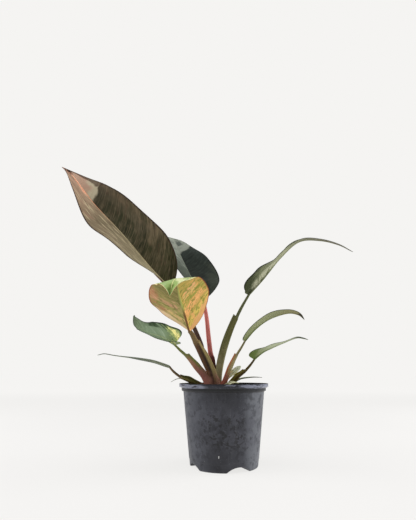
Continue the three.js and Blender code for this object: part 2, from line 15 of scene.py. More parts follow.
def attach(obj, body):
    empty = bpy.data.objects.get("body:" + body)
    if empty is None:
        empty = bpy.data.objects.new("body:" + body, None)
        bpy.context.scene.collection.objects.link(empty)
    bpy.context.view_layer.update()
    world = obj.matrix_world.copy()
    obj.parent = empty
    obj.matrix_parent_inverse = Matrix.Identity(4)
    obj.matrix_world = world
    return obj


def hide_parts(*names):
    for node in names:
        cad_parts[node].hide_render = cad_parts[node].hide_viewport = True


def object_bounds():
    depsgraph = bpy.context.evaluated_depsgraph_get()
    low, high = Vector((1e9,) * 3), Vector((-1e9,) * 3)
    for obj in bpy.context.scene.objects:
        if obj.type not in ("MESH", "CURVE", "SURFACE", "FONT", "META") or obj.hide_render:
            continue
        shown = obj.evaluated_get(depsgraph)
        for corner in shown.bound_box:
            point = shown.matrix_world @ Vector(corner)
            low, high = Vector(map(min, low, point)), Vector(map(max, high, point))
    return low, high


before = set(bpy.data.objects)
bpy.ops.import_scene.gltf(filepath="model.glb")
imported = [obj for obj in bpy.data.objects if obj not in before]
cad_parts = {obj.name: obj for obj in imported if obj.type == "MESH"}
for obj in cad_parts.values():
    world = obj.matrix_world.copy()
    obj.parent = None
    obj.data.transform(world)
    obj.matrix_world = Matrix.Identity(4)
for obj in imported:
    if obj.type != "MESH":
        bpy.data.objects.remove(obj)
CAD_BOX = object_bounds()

LOG = logging.getLogger("plant")
BODY = "root"
MM = 0.001

Row = Sequence[float]
Rows = Sequence[Row]
Mesh = bmesh.types.BMesh
Piece = bpy.types.Object
Material = bpy.types.Material
Socket = bpy.types.NodeSocket
Outputs = bpy.types.bpy_prop_collection
Value = Socket | float | str

# Pot, in millimetres
POT_HEIGHT = 112.5
POT_WALL = 1.8
RIM_RADIUS = 63.7
RIM_DEPTH = 6.2
RIM_ROUND = 1.2
SHOULDER_RADIUS = 59.2
SHOULDER_DEPTH = 4.6
WALL_TOP_RADIUS = 56.8
FOOT_RADIUS = 47.2
FOOT_ROUND = 2.2
FOOT_ZONE = 16.0
CHANNELS = 4
CHANNEL_TURN = -66.5
CHANNEL_TURNS = [math.radians(CHANNEL_TURN + number * 360 / CHANNELS) for number in range(CHANNELS)]
CHANNEL_WIDTH = 33.0
CHANNEL_HEIGHT = 6.6
CHANNEL_START = 19.0
DRAIN_RADIUS = 5.0
DRAIN_AT = 34.0

# Potting mix and crown, in millimetres
MIX_TOP = 96.0
MIX_GAP = 0.3
CROWN_AT = (-8.0, -1.0)
CROWN_FOOT = 62.0
CROWN_TOP = 122.0
CROWN_RADIUS = 8.5

# Leaves: thickness, depth of the quilting, groove over the midrib and radius of its tip, in millimetres
LEAF_THICK = 0.7
LEAF_RELIEF = 0.025
RIB_GROOVE = 0.22
RIB_TIP = 0.12
LIP_THICK = 1.2

# Leaves: how much thinner the edge is, how a side vein bends, the least count of veins, the lag of the right
# half's waves, and the specular levels
EDGE_THINNING = 0.55
VEIN_BEND = 0.35
FIRST_VEIN = 40
WAVE_LAG = 1.7
LEAF_GLOSS = 0.1
STALK_GLOSS = 0.2

# Meshes: samples of a curve, rows along and columns across, and how these crowd at the foot and the midrib
SPINE_STEPS = 240
BLADE_GRID = (132, 56)
STALK_GRID = (96, 48)
SMALL_GRID = (40, 16)
ROW_GRADING = 1.15
COLUMN_GRADING = 1.4
DRAIN_STEPS = 32

# Meshes: the longest edge of a turned outline and how close points are merged, in millimetres
LONGEST_EDGE = 2.2
SEAM = 0.002
STALK_SEAM = 0.01
SHARP = math.radians(48)


def tint(code: str) -> tuple[float, float, float, float]:
    """Linear colour of a hex code as the eye sees it.

    Args:
        code: Six hex digits.
    Returns:
        Red, green, blue and alpha for a colour socket.
    """
    parts = [int(code[place:place + 2], 16) / 255 for place in (0, 2, 4)]
    linear = [part / 12.92 if part <= 0.04045 else ((part + 0.055) / 1.055) ** 2.4 for part in parts]
    return (*linear, 1.0)


def smooth(share: float) -> float:
    """Eases a share from 0 to 1."""
    share = min(max(share, 0.0), 1.0)
    return share * share * (3 - 2 * share)


def mixed(low: Row, high: Row, share: float) -> list[float]:
    """Two rows mixed by an eased share."""
    blend = smooth(share)
    return [a * (1 - blend) + b * blend for a, b in zip(low, high)]


def spread(rows: Rows, share: float) -> list[float]:
    """The row at a share of the length, where the rows are spread evenly.

    Args:
        rows: The rows from 0 to 1.
        share: Place along the length.
    Returns:
        The row there.
    """
    place = share * (len(rows) - 1)
    index = max(min(int(place), len(rows) - 2), 0)
    return mixed(rows[index], rows[min(index + 1, len(rows) - 1)], place - index)


class Spine:
    """A smooth curve through points with an upper face, measured by its length, in millimetres."""

    def __init__(self, points: Rows, upper_face: Rows) -> None:
        """Samples the curve once.

        Args:
            points: The points that it passes through.
            upper_face: Rows of the way that the upper face looks.
        """
        self.knots = [Vector(point) for point in points]
        self.upper_face = upper_face
        self.stands: dict[float, tuple[Vector, ...]] = {}
        samples = [self.bent(step / SPINE_STEPS) for step in range(SPINE_STEPS + 1)]
        self.lengths = [0.0]
        for low, high in zip(samples, samples[1:]):
            self.lengths.append(self.lengths[-1] + (high - low).length)
        self.length = self.lengths[-1]

    def bent(self, share: float) -> Vector:
        """A point of the centripetal spline.

        Args:
            share: 0 at the first knot and 1 at the last.
        Returns:
            The point.
        """
        knots = self.knots
        place = share * (len(knots) - 1)
        index = min(int(place), len(knots) - 2)
        part = place - index
        second, third = knots[index], knots[index + 1]
        first = knots[index - 1] if index > 0 else 2 * second - third
        fourth = knots[index + 2] if index + 2 < len(knots) else 2 * third - second
        before = math.sqrt((second - first).length)
        between = math.sqrt((third - second).length)
        after = math.sqrt((fourth - third).length)
        leave = (second - first) / before - (third - first) / (before + between) + (third - second) / between
        reach = (third - second) / between - (fourth - second) / (between + after) + (fourth - third) / after
        leave *= between
        reach *= between
        bend = -3 * second + 3 * third - 2 * leave - reach
        twist = 2 * second - 2 * third + leave + reach
        return second + leave * part + bend * part ** 2 + twist * part ** 3

    def at(self, share: float) -> Vector:
        """A point by its share of the length.

        Args:
            share: 0 at the start and 1 at the end.
        Returns:
            The point.
        """
        goal = min(max(share, 0.0), 1.0) * self.length
        low, high = 0, SPINE_STEPS
        while high - low > 1:
            middle = (low + high) // 2
            if self.lengths[middle] <= goal:
                low = middle
            else:
                high = middle
        step = self.lengths[high] - self.lengths[low]
        return self.bent((low + (goal - self.lengths[low]) / step) / SPINE_STEPS)

    def stand(self, share: float) -> tuple[Vector, ...]:
        """The frame that a section stands in.

        Args:
            share: Place along the length.
        Returns:
            The point, and the directions along, up and sideways.
        """
        if share not in self.stands:
            step = 0.002
            along = (self.at(share + step) - self.at(share - step)).normalized()
            up = Vector(spread(self.upper_face, share))
            up = (up - along * up.dot(along)).normalized()
            self.stands[share] = (self.at(share), along, up, along.cross(up))
        return self.stands[share]


class Finish:
    """A procedural material under way, with its colour so far.

    A value is a socket, a number, a row of numbers or a hex colour.
    """

    def __init__(self, name: str, base: str) -> None:
        """Starts a material.

        Args:
            name: The material's name.
            base: Its first colour.
        """
        self.material = bpy.data.materials.new(name)
        self.material.use_nodes = True
        self.tree = self.material.node_tree
        self.shader = self.tree.nodes["Principled BSDF"]
        self.colour: Value = base

    def put(self, socket: Socket, value: Value) -> None:
        """Links an input to a socket, or sets its number or colour.

        Args:
            socket: The input to fill.
            value: What fills it.
        """
        if isinstance(value, bpy.types.NodeSocket):
            self.tree.links.new(value, socket)
        else:
            socket.default_value = tint(value) if isinstance(value, str) else value

    def node(self, kind: str, inputs: dict[int | str, Value], **settings: object) -> Outputs:
        """Adds a node.

        Args:
            kind: The last part of its type.
            inputs: What fills its inputs.
            settings: Properties to set on it.
        Returns:
            Its outputs.
        """
        made = self.tree.nodes.new(f"ShaderNode{kind}")
        for key, value in settings.items():
            setattr(made, key, value)
        for key, value in inputs.items():
            self.put(made.inputs[key], value)
        return made.outputs

    def sum(self, operation: str, first: Value, second: Value = 0.0) -> Socket:
        """One step of arithmetic, by the Math node's operation."""
        return self.node("Math", {0: first, 1: second}, operation=operation)[0]

    def plus(self, first: Value, second: Value) -> Socket:
        """Adds two numbers."""
        return self.sum("ADD", first, second)

    def times(self, first: Value, *others: Value) -> Value:
        """Multiplies numbers.

        Args:
            first: The first number.
            others: The numbers that follow.
        Returns:
            Their product.
        """
        for other in others:
            first = self.sum("MULTIPLY", first, other)
        return first

    def off(self, value: Value, middle: float = 0.0) -> Socket:
        """How far a value is from a middle."""
        return self.sum("ABSOLUTE", self.plus(value, -middle))

    def blend(self, factor: Value, first: Value, second: Value) -> Socket:
        """Mixes two colours, from the first at 0 to the second at 1."""
        return self.node("Mix", {0: factor, 6: first, 7: second}, data_type="RGBA")[2]

    def lay(self, factor: Value, over: Value) -> None:
        """Lays another colour over the colour so far."""
        self.colour = self.blend(factor, self.colour, over)

    def rise(self, value: Value, low: float, high: float, bottom: float = 0.0, top: float = 1.0) -> Socket:
        """Eases from bottom to top as a value goes from low to high."""
        ends = {0: value, 1: low, 2: high, 3: bottom, 4: top}
        return self.node("MapRange", ends, interpolation_type="SMOOTHSTEP")[0]

    def fall(self, value: Value, low: float, high: float) -> Socket:
        """Eases from 1 to 0 as a value goes from low to high."""
        return self.rise(value, low, high, 1.0, 0.0)

    def band(self, value: Value, start: float, full: float, leave: float, end: float) -> Socket:
        """1 from full to leave, and 0 before start and after end."""
        return self.times(self.rise(value, start, full), self.fall(value, leave, end))

    def place(self) -> Socket:
        """The point on the piece, in metres."""
        return self.node("TexCoord", {})["Object"]

    def pair(self, layer: str) -> tuple[Socket, Socket]:
        """Both values of one of the piece's own UV maps."""
        both = self.split(self.node("UVMap", {}, uv_map=layer)[0])
        return both[0], both[1]

    def split(self, vector: Socket) -> Outputs:
        """The three numbers of a vector."""
        return self.node("SeparateXYZ", {0: vector})

    def join(self, first: Value, second: Value, third: Value = 0.0) -> Socket:
        """A vector from three numbers."""
        return self.node("CombineXYZ", {0: first, 1: second, 2: third})[0]

    def length(self, vector: Socket) -> Socket:
        """The length of a vector."""
        return self.node("VectorMath", {0: vector}, operation="LENGTH")["Value"]

    def stretch(self, vector: Socket, scale: Row) -> Socket:
        """A vector scaled along each axis."""
        return self.node("Mapping", {"Vector": vector, "Scale": scale})[0]

    def grain(self, place: Socket, scale: float, detail: float = 3.0, rough: float = 0.55) -> Socket:
        """Cloudy noise from 0 to 1, with its scale, octaves of detail and how strong the finer ones are."""
        inputs = {"Vector": place, "Scale": scale, "Detail": detail, "Roughness": rough}
        return self.node("TexNoise", inputs)[0]

    def strands(self, pair: tuple[Socket, Socket], first: float, second: float, detail: float,
                rough: float = 0.55, seed: float = 0.0) -> Socket:
        """Noise drawn out along a pair of values.

        Args:
            pair: The two values.
            first: Scale of the first.
            second: Scale of the second.
            detail: Octaves of detail.
            rough: How strong the finer octaves are.
            seed: Shifts the noise.
        Returns:
            The noise.
        """
        vector = self.join(self.times(pair[0], first), self.times(pair[1], second), seed)
        return self.grain(vector, 1.0, detail, rough)

    def surface(self, dull: Value, height: Socket, depth: float, strength: float,
                gloss: float = 0.5) -> Material:
        """Joins colour, roughness and bump to the shader.

        Args:
            dull: Roughness.
            height: Bump height from 0 to 1.
            depth: Height of the bump in millimetres.
            strength: Share of the bump that shows.
            gloss: Specular level.
        Returns:
            The material.
        """
        bump = self.node("Bump", {"Strength": strength, "Distance": depth * MM, "Height": height})[0]
        self.fill({"Base Color": self.colour, "Roughness": dull, "Normal": bump, "Specular IOR Level": gloss})
        return self.material

    def fill(self, values: dict[str, Value]) -> None:
        """Fills the shader's inputs by their names."""
        for name, value in values.items():
            self.put(self.shader.inputs[name], value)


def held(point: Vector) -> Vector:
    """A point held inside the frame's own box."""
    return Vector([min(max(value, low), high) for value, low, high in zip(point, *CAD_BOX)])


def piece_from(name: str, mesh: Mesh, finishes: Sequence[Material]) -> Piece:
    """Closes a mesh's seams and makes it an object at the origin.

    Args:
        name: The piece's name.
        mesh: Its mesh, in metres.
        finishes: Its materials in order.
    Returns:
        The object.
    """
    bmesh.ops.remove_doubles(mesh, verts=mesh.verts[:], dist=SEAM * MM)
    bmesh.ops.recalc_face_normals(mesh, faces=mesh.faces[:])
    for face in mesh.faces:
        face.smooth = True
    data = bpy.data.meshes.new(name)
    mesh.to_mesh(data)
    mesh.free()
    data.set_sharp_from_angle(angle=SHARP)
    for finish in finishes:
        data.materials.append(finish)
    return linked(name, data)


def linked(name: str, data: bpy.types.ID) -> Piece:
    """Makes an object and puts it in the scene.

    Args:
        name: The object's name.
        data: Its mesh, lamp or camera.
    Returns:
        The object.
    """
    made = bpy.data.objects.new(name, data)
    bpy.context.scene.collection.objects.link(made)
    return made


def show(piece: Piece, node: str) -> None:
    """Puts a piece in the place of its plain node.

    Args:
        piece: The finer piece.
        node: The node that it stands for.
    """
    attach(piece, BODY)
    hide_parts(node)
    LOG.info("%s: %d faces", piece.name, len(piece.data.polygons))


class Side(Enum):
    """The faces of a blade, by the number of their material."""

    UPPER = 0
    UNDER = 1
    EDGE = 2


@dataclass(frozen=True)
class Zone:
    """A patch of another colour, by where its side veins start along the blade and by its half width.

    Soft is the width of its border, and cover is the share that its splashes fill. Narrow and dab are the
    scales of these across and along the side veins, and blur is how softly they end.
    """

    colour: str
    along: tuple[float, float] = (-1.0, 2.0)
    across: tuple[float, float] = (-2.0, 2.0)
    cover: float = 1.0
    soft: float = 0.03
    strength: float = 1.0
    seed: float = 0.0
    narrow: float = 1.6
    blur: float = 0.06
    dab: float = 0.05

    def lay(self, work: Finish, reads: tuple) -> None:
        """Lays the zone over the colour so far.

        Args:
            work: The material under way.
            reads: Across, where the side vein starts, vein order with reach, and cloud.
        """
        across, sector, veins, cloud = reads
        shares = [self.strength]
        shift = work.rise(cloud, 0.25, 0.75, -self.soft, self.soft)
        for value, (low, high) in ((sector, self.along), (across, self.across)):
            moved = work.plus(value, shift)
            if low > -1:
                shares.append(work.rise(moved, low - self.soft, low + self.soft))
            if high < 1:
                shares.append(work.fall(moved, high - self.soft, high + self.soft))
        if self.cover < 1:
            splash = work.strands(veins, self.narrow, self.dab, 3.0, 0.62, self.seed)
            level = 0.68 - 0.36 * self.cover
            shares.append(work.rise(splash, level, level + self.blur))
        work.lay(work.times(*shares), self.colour)


@dataclass(frozen=True)
class Face:
    """How one face of a blade looks.

    Left and right are colours at the foot, middle and tip of a half. Rib has the midrib's two, which change
    over rib_turn. The gains say how strongly veins and streaks show.
    """

    left: str
    streak: str
    vein: str
    rib: str
    edge: str
    right: str = ""
    zones: tuple[Zone, ...] = ()
    vein_gain: float = 0.35
    streak_gain: float = 0.5
    edge_width: float = 0.03
    roughness: float = 0.42
    shade: str = "2c2f20"
    rib_turn: tuple[float, float] = (0.3, 0.95)

    def dress(self, name: str) -> Material:
        """Makes the face's material.

        Args:
            name: The material's name.
        Returns:
            The material.
        """
        work = Finish(name, self.edge)
        across, along = work.pair("place")
        veins = work.pair("veins")
        order, reach = veins
        halves = [self.run(work, along, half) for half in (self.left, self.right or self.left)]
        work.colour = work.blend(work.rise(across, -0.015, 0.015), *halves)
        streaks = work.strands(veins, 0.8, 0.035, 4.0, 0.6)
        work.lay(work.rise(streaks, 0.4, 0.62, 0.0, self.streak_gain), self.streak)
        work.lay(work.rise(streaks, 0.42, 0.26, 0.0, 0.6), self.shade)
        cloud = work.grain(work.place(), 60.0, 2.0)
        reads = (across, work.pair("sector")[0], veins, cloud)
        for zone in self.zones:
            zone.lay(work, reads)
        line = work.fall(work.off(work.sum("FRACT", order), 0.5), 0.0, 0.075)
        fine = work.strands(veins, 5.0, 0.08, 1.0)
        work.lay(work.times(line, self.vein_gain), self.vein)
        work.lay(work.rise(fine, 0.45, 0.75, 0.0, self.vein_gain * 0.8), self.vein)
        from_rib = work.sum("DIVIDE", work.off(reach), work.rise(along, 0.0, 1.0, 1.3, 0.45))
        rib = work.blend(work.rise(along, *self.rib_turn), *self.rib.split())
        work.lay(work.fall(from_rib, 0.6, 1.1), rib)
        margin = work.rise(work.off(across), 1 - 2 * self.edge_width, 1 - 0.5 * self.edge_width)
        work.lay(margin, self.edge)
        dull = work.rise(cloud, 0.3, 0.7, self.roughness - 0.05, self.roughness + 0.08)
        height = work.plus(work.times(line, 0.5), work.times(fine, 0.12))
        return work.surface(dull, height, 0.12, 0.25, LEAF_GLOSS)

    @staticmethod
    def run(work: Finish, along: Socket, colours: str) -> Socket:
        """Three colours eased from foot to tip.

        Args:
            work: The material under way.
            along: Place along the blade.
            colours: The colours in a row.
        Returns:
            The colour.
        """
        foot, middle, tip = colours.split()
        lower = work.blend(work.rise(along, 0.02, 0.45), foot, middle)
        return work.blend(work.rise(along, 0.5, 0.95), lower, tip)


@dataclass(frozen=True)
class StalkFace:
    """How a stalk looks: colours round its sheath, above the sheath and at its foot."""

    keel: str
    flank: str
    lip: str
    inside: str
    top: str
    foot: str
    stripe: str
    foot_end: float = 0.25
    lip_from: float = 0.17

    def dress(self, name: str, sheath_end: float) -> Material:
        """Makes the stalk's material.

        Args:
            name: The material's name.
            sheath_end: Share of the length where the sheath ends.
        Returns:
            The material.
        """
        work = Finish(name, self.keel)
        turn, along = work.pair("place")
        from_keel = work.off(turn, 0.25)
        work.lay(work.rise(from_keel, 0.04, 0.12), self.flank)
        work.lay(work.rise(from_keel, self.lip_from, self.lip_from + 0.05), self.lip)
        work.lay(work.rise(turn, 0.49, 0.55), self.inside)
        work.lay(work.rise(along, sheath_end - 0.06, sheath_end + 0.06), self.top)
        stripes = work.strands((turn, along), 26.0, 1.6, 3.0)
        work.lay(work.rise(stripes, 0.42, 0.66, 0.0, 0.55), self.stripe)
        cloud = work.grain(work.place(), 90.0)
        low = work.plus(along, work.rise(cloud, 0.3, 0.7, -0.06, 0.06))
        earthy = work.rise(low, 0.5 * self.foot_end, 1.3 * self.foot_end, 0.9, 0.0)
        work.lay(earthy, self.foot)
        work.lay(work.rise(cloud, 0.5, 0.72, 0.0, 0.25), self.flank)
        return work.surface(work.rise(cloud, 0.3, 0.7, 0.39, 0.53), stripes, 0.2, 0.3, STALK_GLOSS)


@dataclass(frozen=True)
class Blade:
    """A blade's shape along its midrib, in millimetres and degrees.

    It is widest at a share of its length. Blunt and slender shape the outline before and after it, lobe draws
    the foot back, and a wave has a height and a count. Rib is the midrib's radius at the foot.
    """

    midrib: Rows
    upper_face: Rows
    half_width: float
    widest: float
    blunt: float
    slender: float
    fold_left: Row
    fold_right: Row
    lobe: float = 0.0
    wave: tuple[float, float] = (0.0, 1.0)
    curl: float = 0.0
    rib: float = 2.3
    vein_gap: float = 6.0
    vein_lean: float = 0.55

    def width(self, share: float) -> float:
        """Half width of the blade.

        Args:
            share: Place along the midrib.
        Returns:
            The half width.
        """
        power = math.log(0.5) / math.log(self.widest)
        swell = max(math.sin(math.pi * min(max(share, 0.0), 1.0) ** power), 0.0)
        return self.half_width * swell ** (self.blunt if share < self.widest else self.slender)

    def spot(self, spine: Spine, share: float, across: float, upper: bool) -> tuple[Vector, Row, Row]:
        """One point of the blade's skin.

        Args:
            spine: The midrib's curve.
            share: Place along the midrib.
            across: Place across, from -1 to 1.
            upper: Whether it lies on the upper face.
        Returns:
            The point in metres, its vein order and reach, and the share where its side vein starts.
        """
        origin, along, up, side = spine.stand(share)
        hand = -1 if across < 0 else 1
        aside = abs(across)
        bare = self.width(share)
        rib = self.rib * (1 - share) ** 0.7 + RIB_TIP
        reach = aside * max(bare, 0.9 * rib if share < 0.5 else 0.0)
        folds = self.fold_left if across < 0 else self.fold_right
        fold = math.radians(spread([[angle] for angle in folds], share)[0])
        turn = math.radians(self.curl) / self.half_width
        last = fold + turn * reach
        if turn:
            out = (math.sin(last) - math.sin(fold)) / turn
            lift = (math.cos(fold) - math.cos(last)) / turn
        else:
            out = reach * math.cos(fold)
            lift = reach * math.sin(fold)
        sweep = (1 - share) ** 6 * aside ** 1.5 * bare / self.half_width
        point = origin + side * (hand * out) + up * lift - along * (self.lobe * sweep)
        height, count = self.wave
        phase = 2 * math.pi * count * share + (0 if across < 0 else WAVE_LAG)
        fade = min(1.0, 1.5 * bare / self.half_width)
        point += up * (height * aside * aside * math.sin(phase) * fade)
        normal = up * math.cos(last) - side * (hand * math.sin(last))
        lean = self.vein_lean * reach + VEIN_BEND * reach * reach / max(bare, 1.0)
        stagger = 0.5 if hand * reach > 0 else 0.0
        order = (share * spine.length - lean) / self.vein_gap + stagger + FIRST_VEIN
        quilt = math.cos(2 * math.pi * order) * smooth(reach / 6) * smooth((1 - aside) * 5)
        swell = noise.noise(point * 0.045) * 0.6 * smooth((1 - aside) * 2) * fade
        point += normal * (LEAF_RELIEF * (quilt + swell))
        half = 0.5 * LEAF_THICK * (1 - EDGE_THINNING * aside ** 5)
        if upper:
            point += normal * (half - RIB_GROOVE * smooth(1 - reach / rib) * smooth((1 - share) * 3))
        else:
            round_rib = math.sqrt(max(1 - (reach / rib) ** 2, 0.0)) if rib > 0.2 else 0.0
            point -= normal * (half + rib * round_rib)
        return point * MM, (order, hand * reach), (share - lean / spine.length, 0.0)

    def build(self, name: str, finishes: Sequence[Material], grid: tuple[int, int]) -> Piece:
        """Makes the blade's piece.

        Args:
            name: The piece's name.
            finishes: Materials of the upper face, the under face and the edge.
            grid: Rows along the blade and columns across it.
        Returns:
            The object.
        """
        spine = Spine(self.midrib, self.upper_face)
        mesh = slab(grid)
        spots = []
        for vert in mesh.verts:
            share = ((vert.co.y + 1) / 2) ** ROW_GRADING
            across = math.copysign(abs(vert.co.x) ** COLUMN_GRADING, vert.co.x)
            point, *maps = self.spot(spine, share, across, vert.co.z > 0.5)
            spots.append((held(point), (across, share), *maps))
        lay_out(mesh, ("place", "veins", "sector"), spots)
        return piece_from(name, mesh, finishes)


def flat(grid: tuple[int, int]) -> Mesh:
    """A flat sheet from -1 to 1.

    Args:
        grid: Rows along Y and columns along X.
    Returns:
        The mesh.
    """
    mesh = bmesh.new()
    bmesh.ops.create_grid(mesh, x_segments=grid[1], y_segments=grid[0], size=1)
    return mesh


def slab(grid: tuple[int, int]) -> Mesh:
    """A flat closed slab from 0 to 1 in Z, with its faces sorted by side.

    Args:
        grid: Rows along Y and columns along X.
    Returns:
        The mesh.
    """
    mesh = flat(grid)
    grown = bmesh.ops.extrude_face_region(mesh, geom=mesh.faces[:], use_keep_orig=True)
    raised = [item for item in grown["geom"] if isinstance(item, bmesh.types.BMVert)]
    bmesh.ops.translate(mesh, verts=raised, vec=(0, 0, 1))
    bmesh.ops.recalc_face_normals(mesh, faces=mesh.faces[:])
    for face in mesh.faces:
        face.normal_update()
        level = face.normal.z
        side = Side.UPPER if level > 0.5 else Side.UNDER if level < -0.5 else Side.EDGE
        face.material_index = side.value
    return mesh


def lay_out(mesh: Mesh, layers: Sequence[str], spots: Sequence[tuple]) -> None:
    """Moves a flat mesh's points and writes their UV maps.

    Args:
        mesh: The flat mesh.
        layers: The maps' names.
        spots: For each point its new place and its pair for each map.
    """
    for name in layers:
        mesh.loops.layers.uv.new(name)
    maps = [mesh.loops.layers.uv[name] for name in layers]
    mesh.verts.index_update()
    for face in mesh.faces:
        for loop in face.loops:
            for layer, pair in zip(maps, spots[loop.vert.index][1:]):
                loop[layer].uv = pair
    for vert, spot in zip(mesh.verts, spots):
        vert.co = spot[0]


@dataclass(frozen=True)
class Stalk:
    """A stalk with its sheath, in millimetres.

    Its section has rows of the share, the half width, and the heights of the back, the lip and the floor.
    """

    path: Rows
    upper_face: Rows
    section: Rows
    sheath_end: float
    free: float

    def section_at(self, share: float) -> list[float]:
        """The section's sizes.

        Args:
            share: Place along the stalk.
        Returns:
            Half width, back, lip and floor.
        """
        for low, high in zip(self.section, self.section[1:]):
            if share <= high[0]:
                break
        return mixed(low[1:], high[1:], (share - low[0]) / (high[0] - low[0]))

    def build(self, name: str, finish: Material) -> Piece:
        """Makes the stalk's piece.

        Args:
            name: The piece's name.
            finish: Its material.
        Returns:
            The object.
        """
        spine = Spine(self.path, self.upper_face)
        mesh = flat(STALK_GRID)
        spots = []
        for vert in mesh.verts:
            turn, share = (vert.co.x + 1) / 2, (vert.co.y + 1) / 2
            spots.append((held(self.spot(spine, turn if turn < 1 else 0.0, share)), (turn, share)))
        lay_out(mesh, ("place",), spots)
        bmesh.ops.remove_doubles(mesh, verts=mesh.verts[:], dist=STALK_SEAM * MM)
        bmesh.ops.holes_fill(mesh, edges=[edge for edge in mesh.edges if edge.is_boundary], sides=0)
        return piece_from(name, mesh, [finish])

    def spot(self, spine: Spine, turn: float, share: float) -> Vector:
        """One point of the stalk's skin.

        Args:
            spine: The path's curve.
            turn: Place round the section: the outer face up to 0.5 and the inner face after it.
            share: Place along the stalk.
        Returns:
            The point in metres.
        """
        origin, along, up, side = spine.stand(share)
        half, back, lip, floor = self.section_at(share)
        if turn <= 0.5:
            angle = 2 * math.pi * turn
            out = half * math.cos(angle)
            rise = lip - (lip + back) * math.sin(angle)
        else:
            angle = 2 * math.pi * (1 - turn)
            out = (half - min(half * 0.35, LIP_THICK)) * math.cos(angle)
            rise = lip + (floor - lip) * math.sin(angle)
        past = (self.sheath_end - share) * 15
        ahead = self.free * (1 - past) * abs(math.cos(angle)) ** 4 if 0 <= past < 1 else 0.0
        return (origin + side * out + up * rise + along * ahead) * MM


@dataclass(frozen=True)
class Leaf:
    """One leaf: the record's slots of its blade and stalk, which are not used, their shapes and their looks.
    """

    name: str
    blade_slot: str
    stalk_slot: str
    blade: Blade
    stalk: Stalk
    upper: Face
    under: Face
    stalk_face: StalkFace

    def build(self) -> None:
        """Makes both pieces and puts them in the places of their nodes."""
        stalk = f"{self.name}_stalk"
        skin = self.stalk_face.dress(f"{stalk}_skin", self.stalk.sheath_end)
        show(self.stalk.build(f"{stalk}_fine", skin), stalk)
        blade = f"{self.name}_blade"
        upper = self.upper.dress(f"{blade}_upper")
        under = self.under.dress(f"{blade}_under")
        show(self.blade.build(f"{blade}_fine", [upper, under, under], BLADE_GRID), blade)


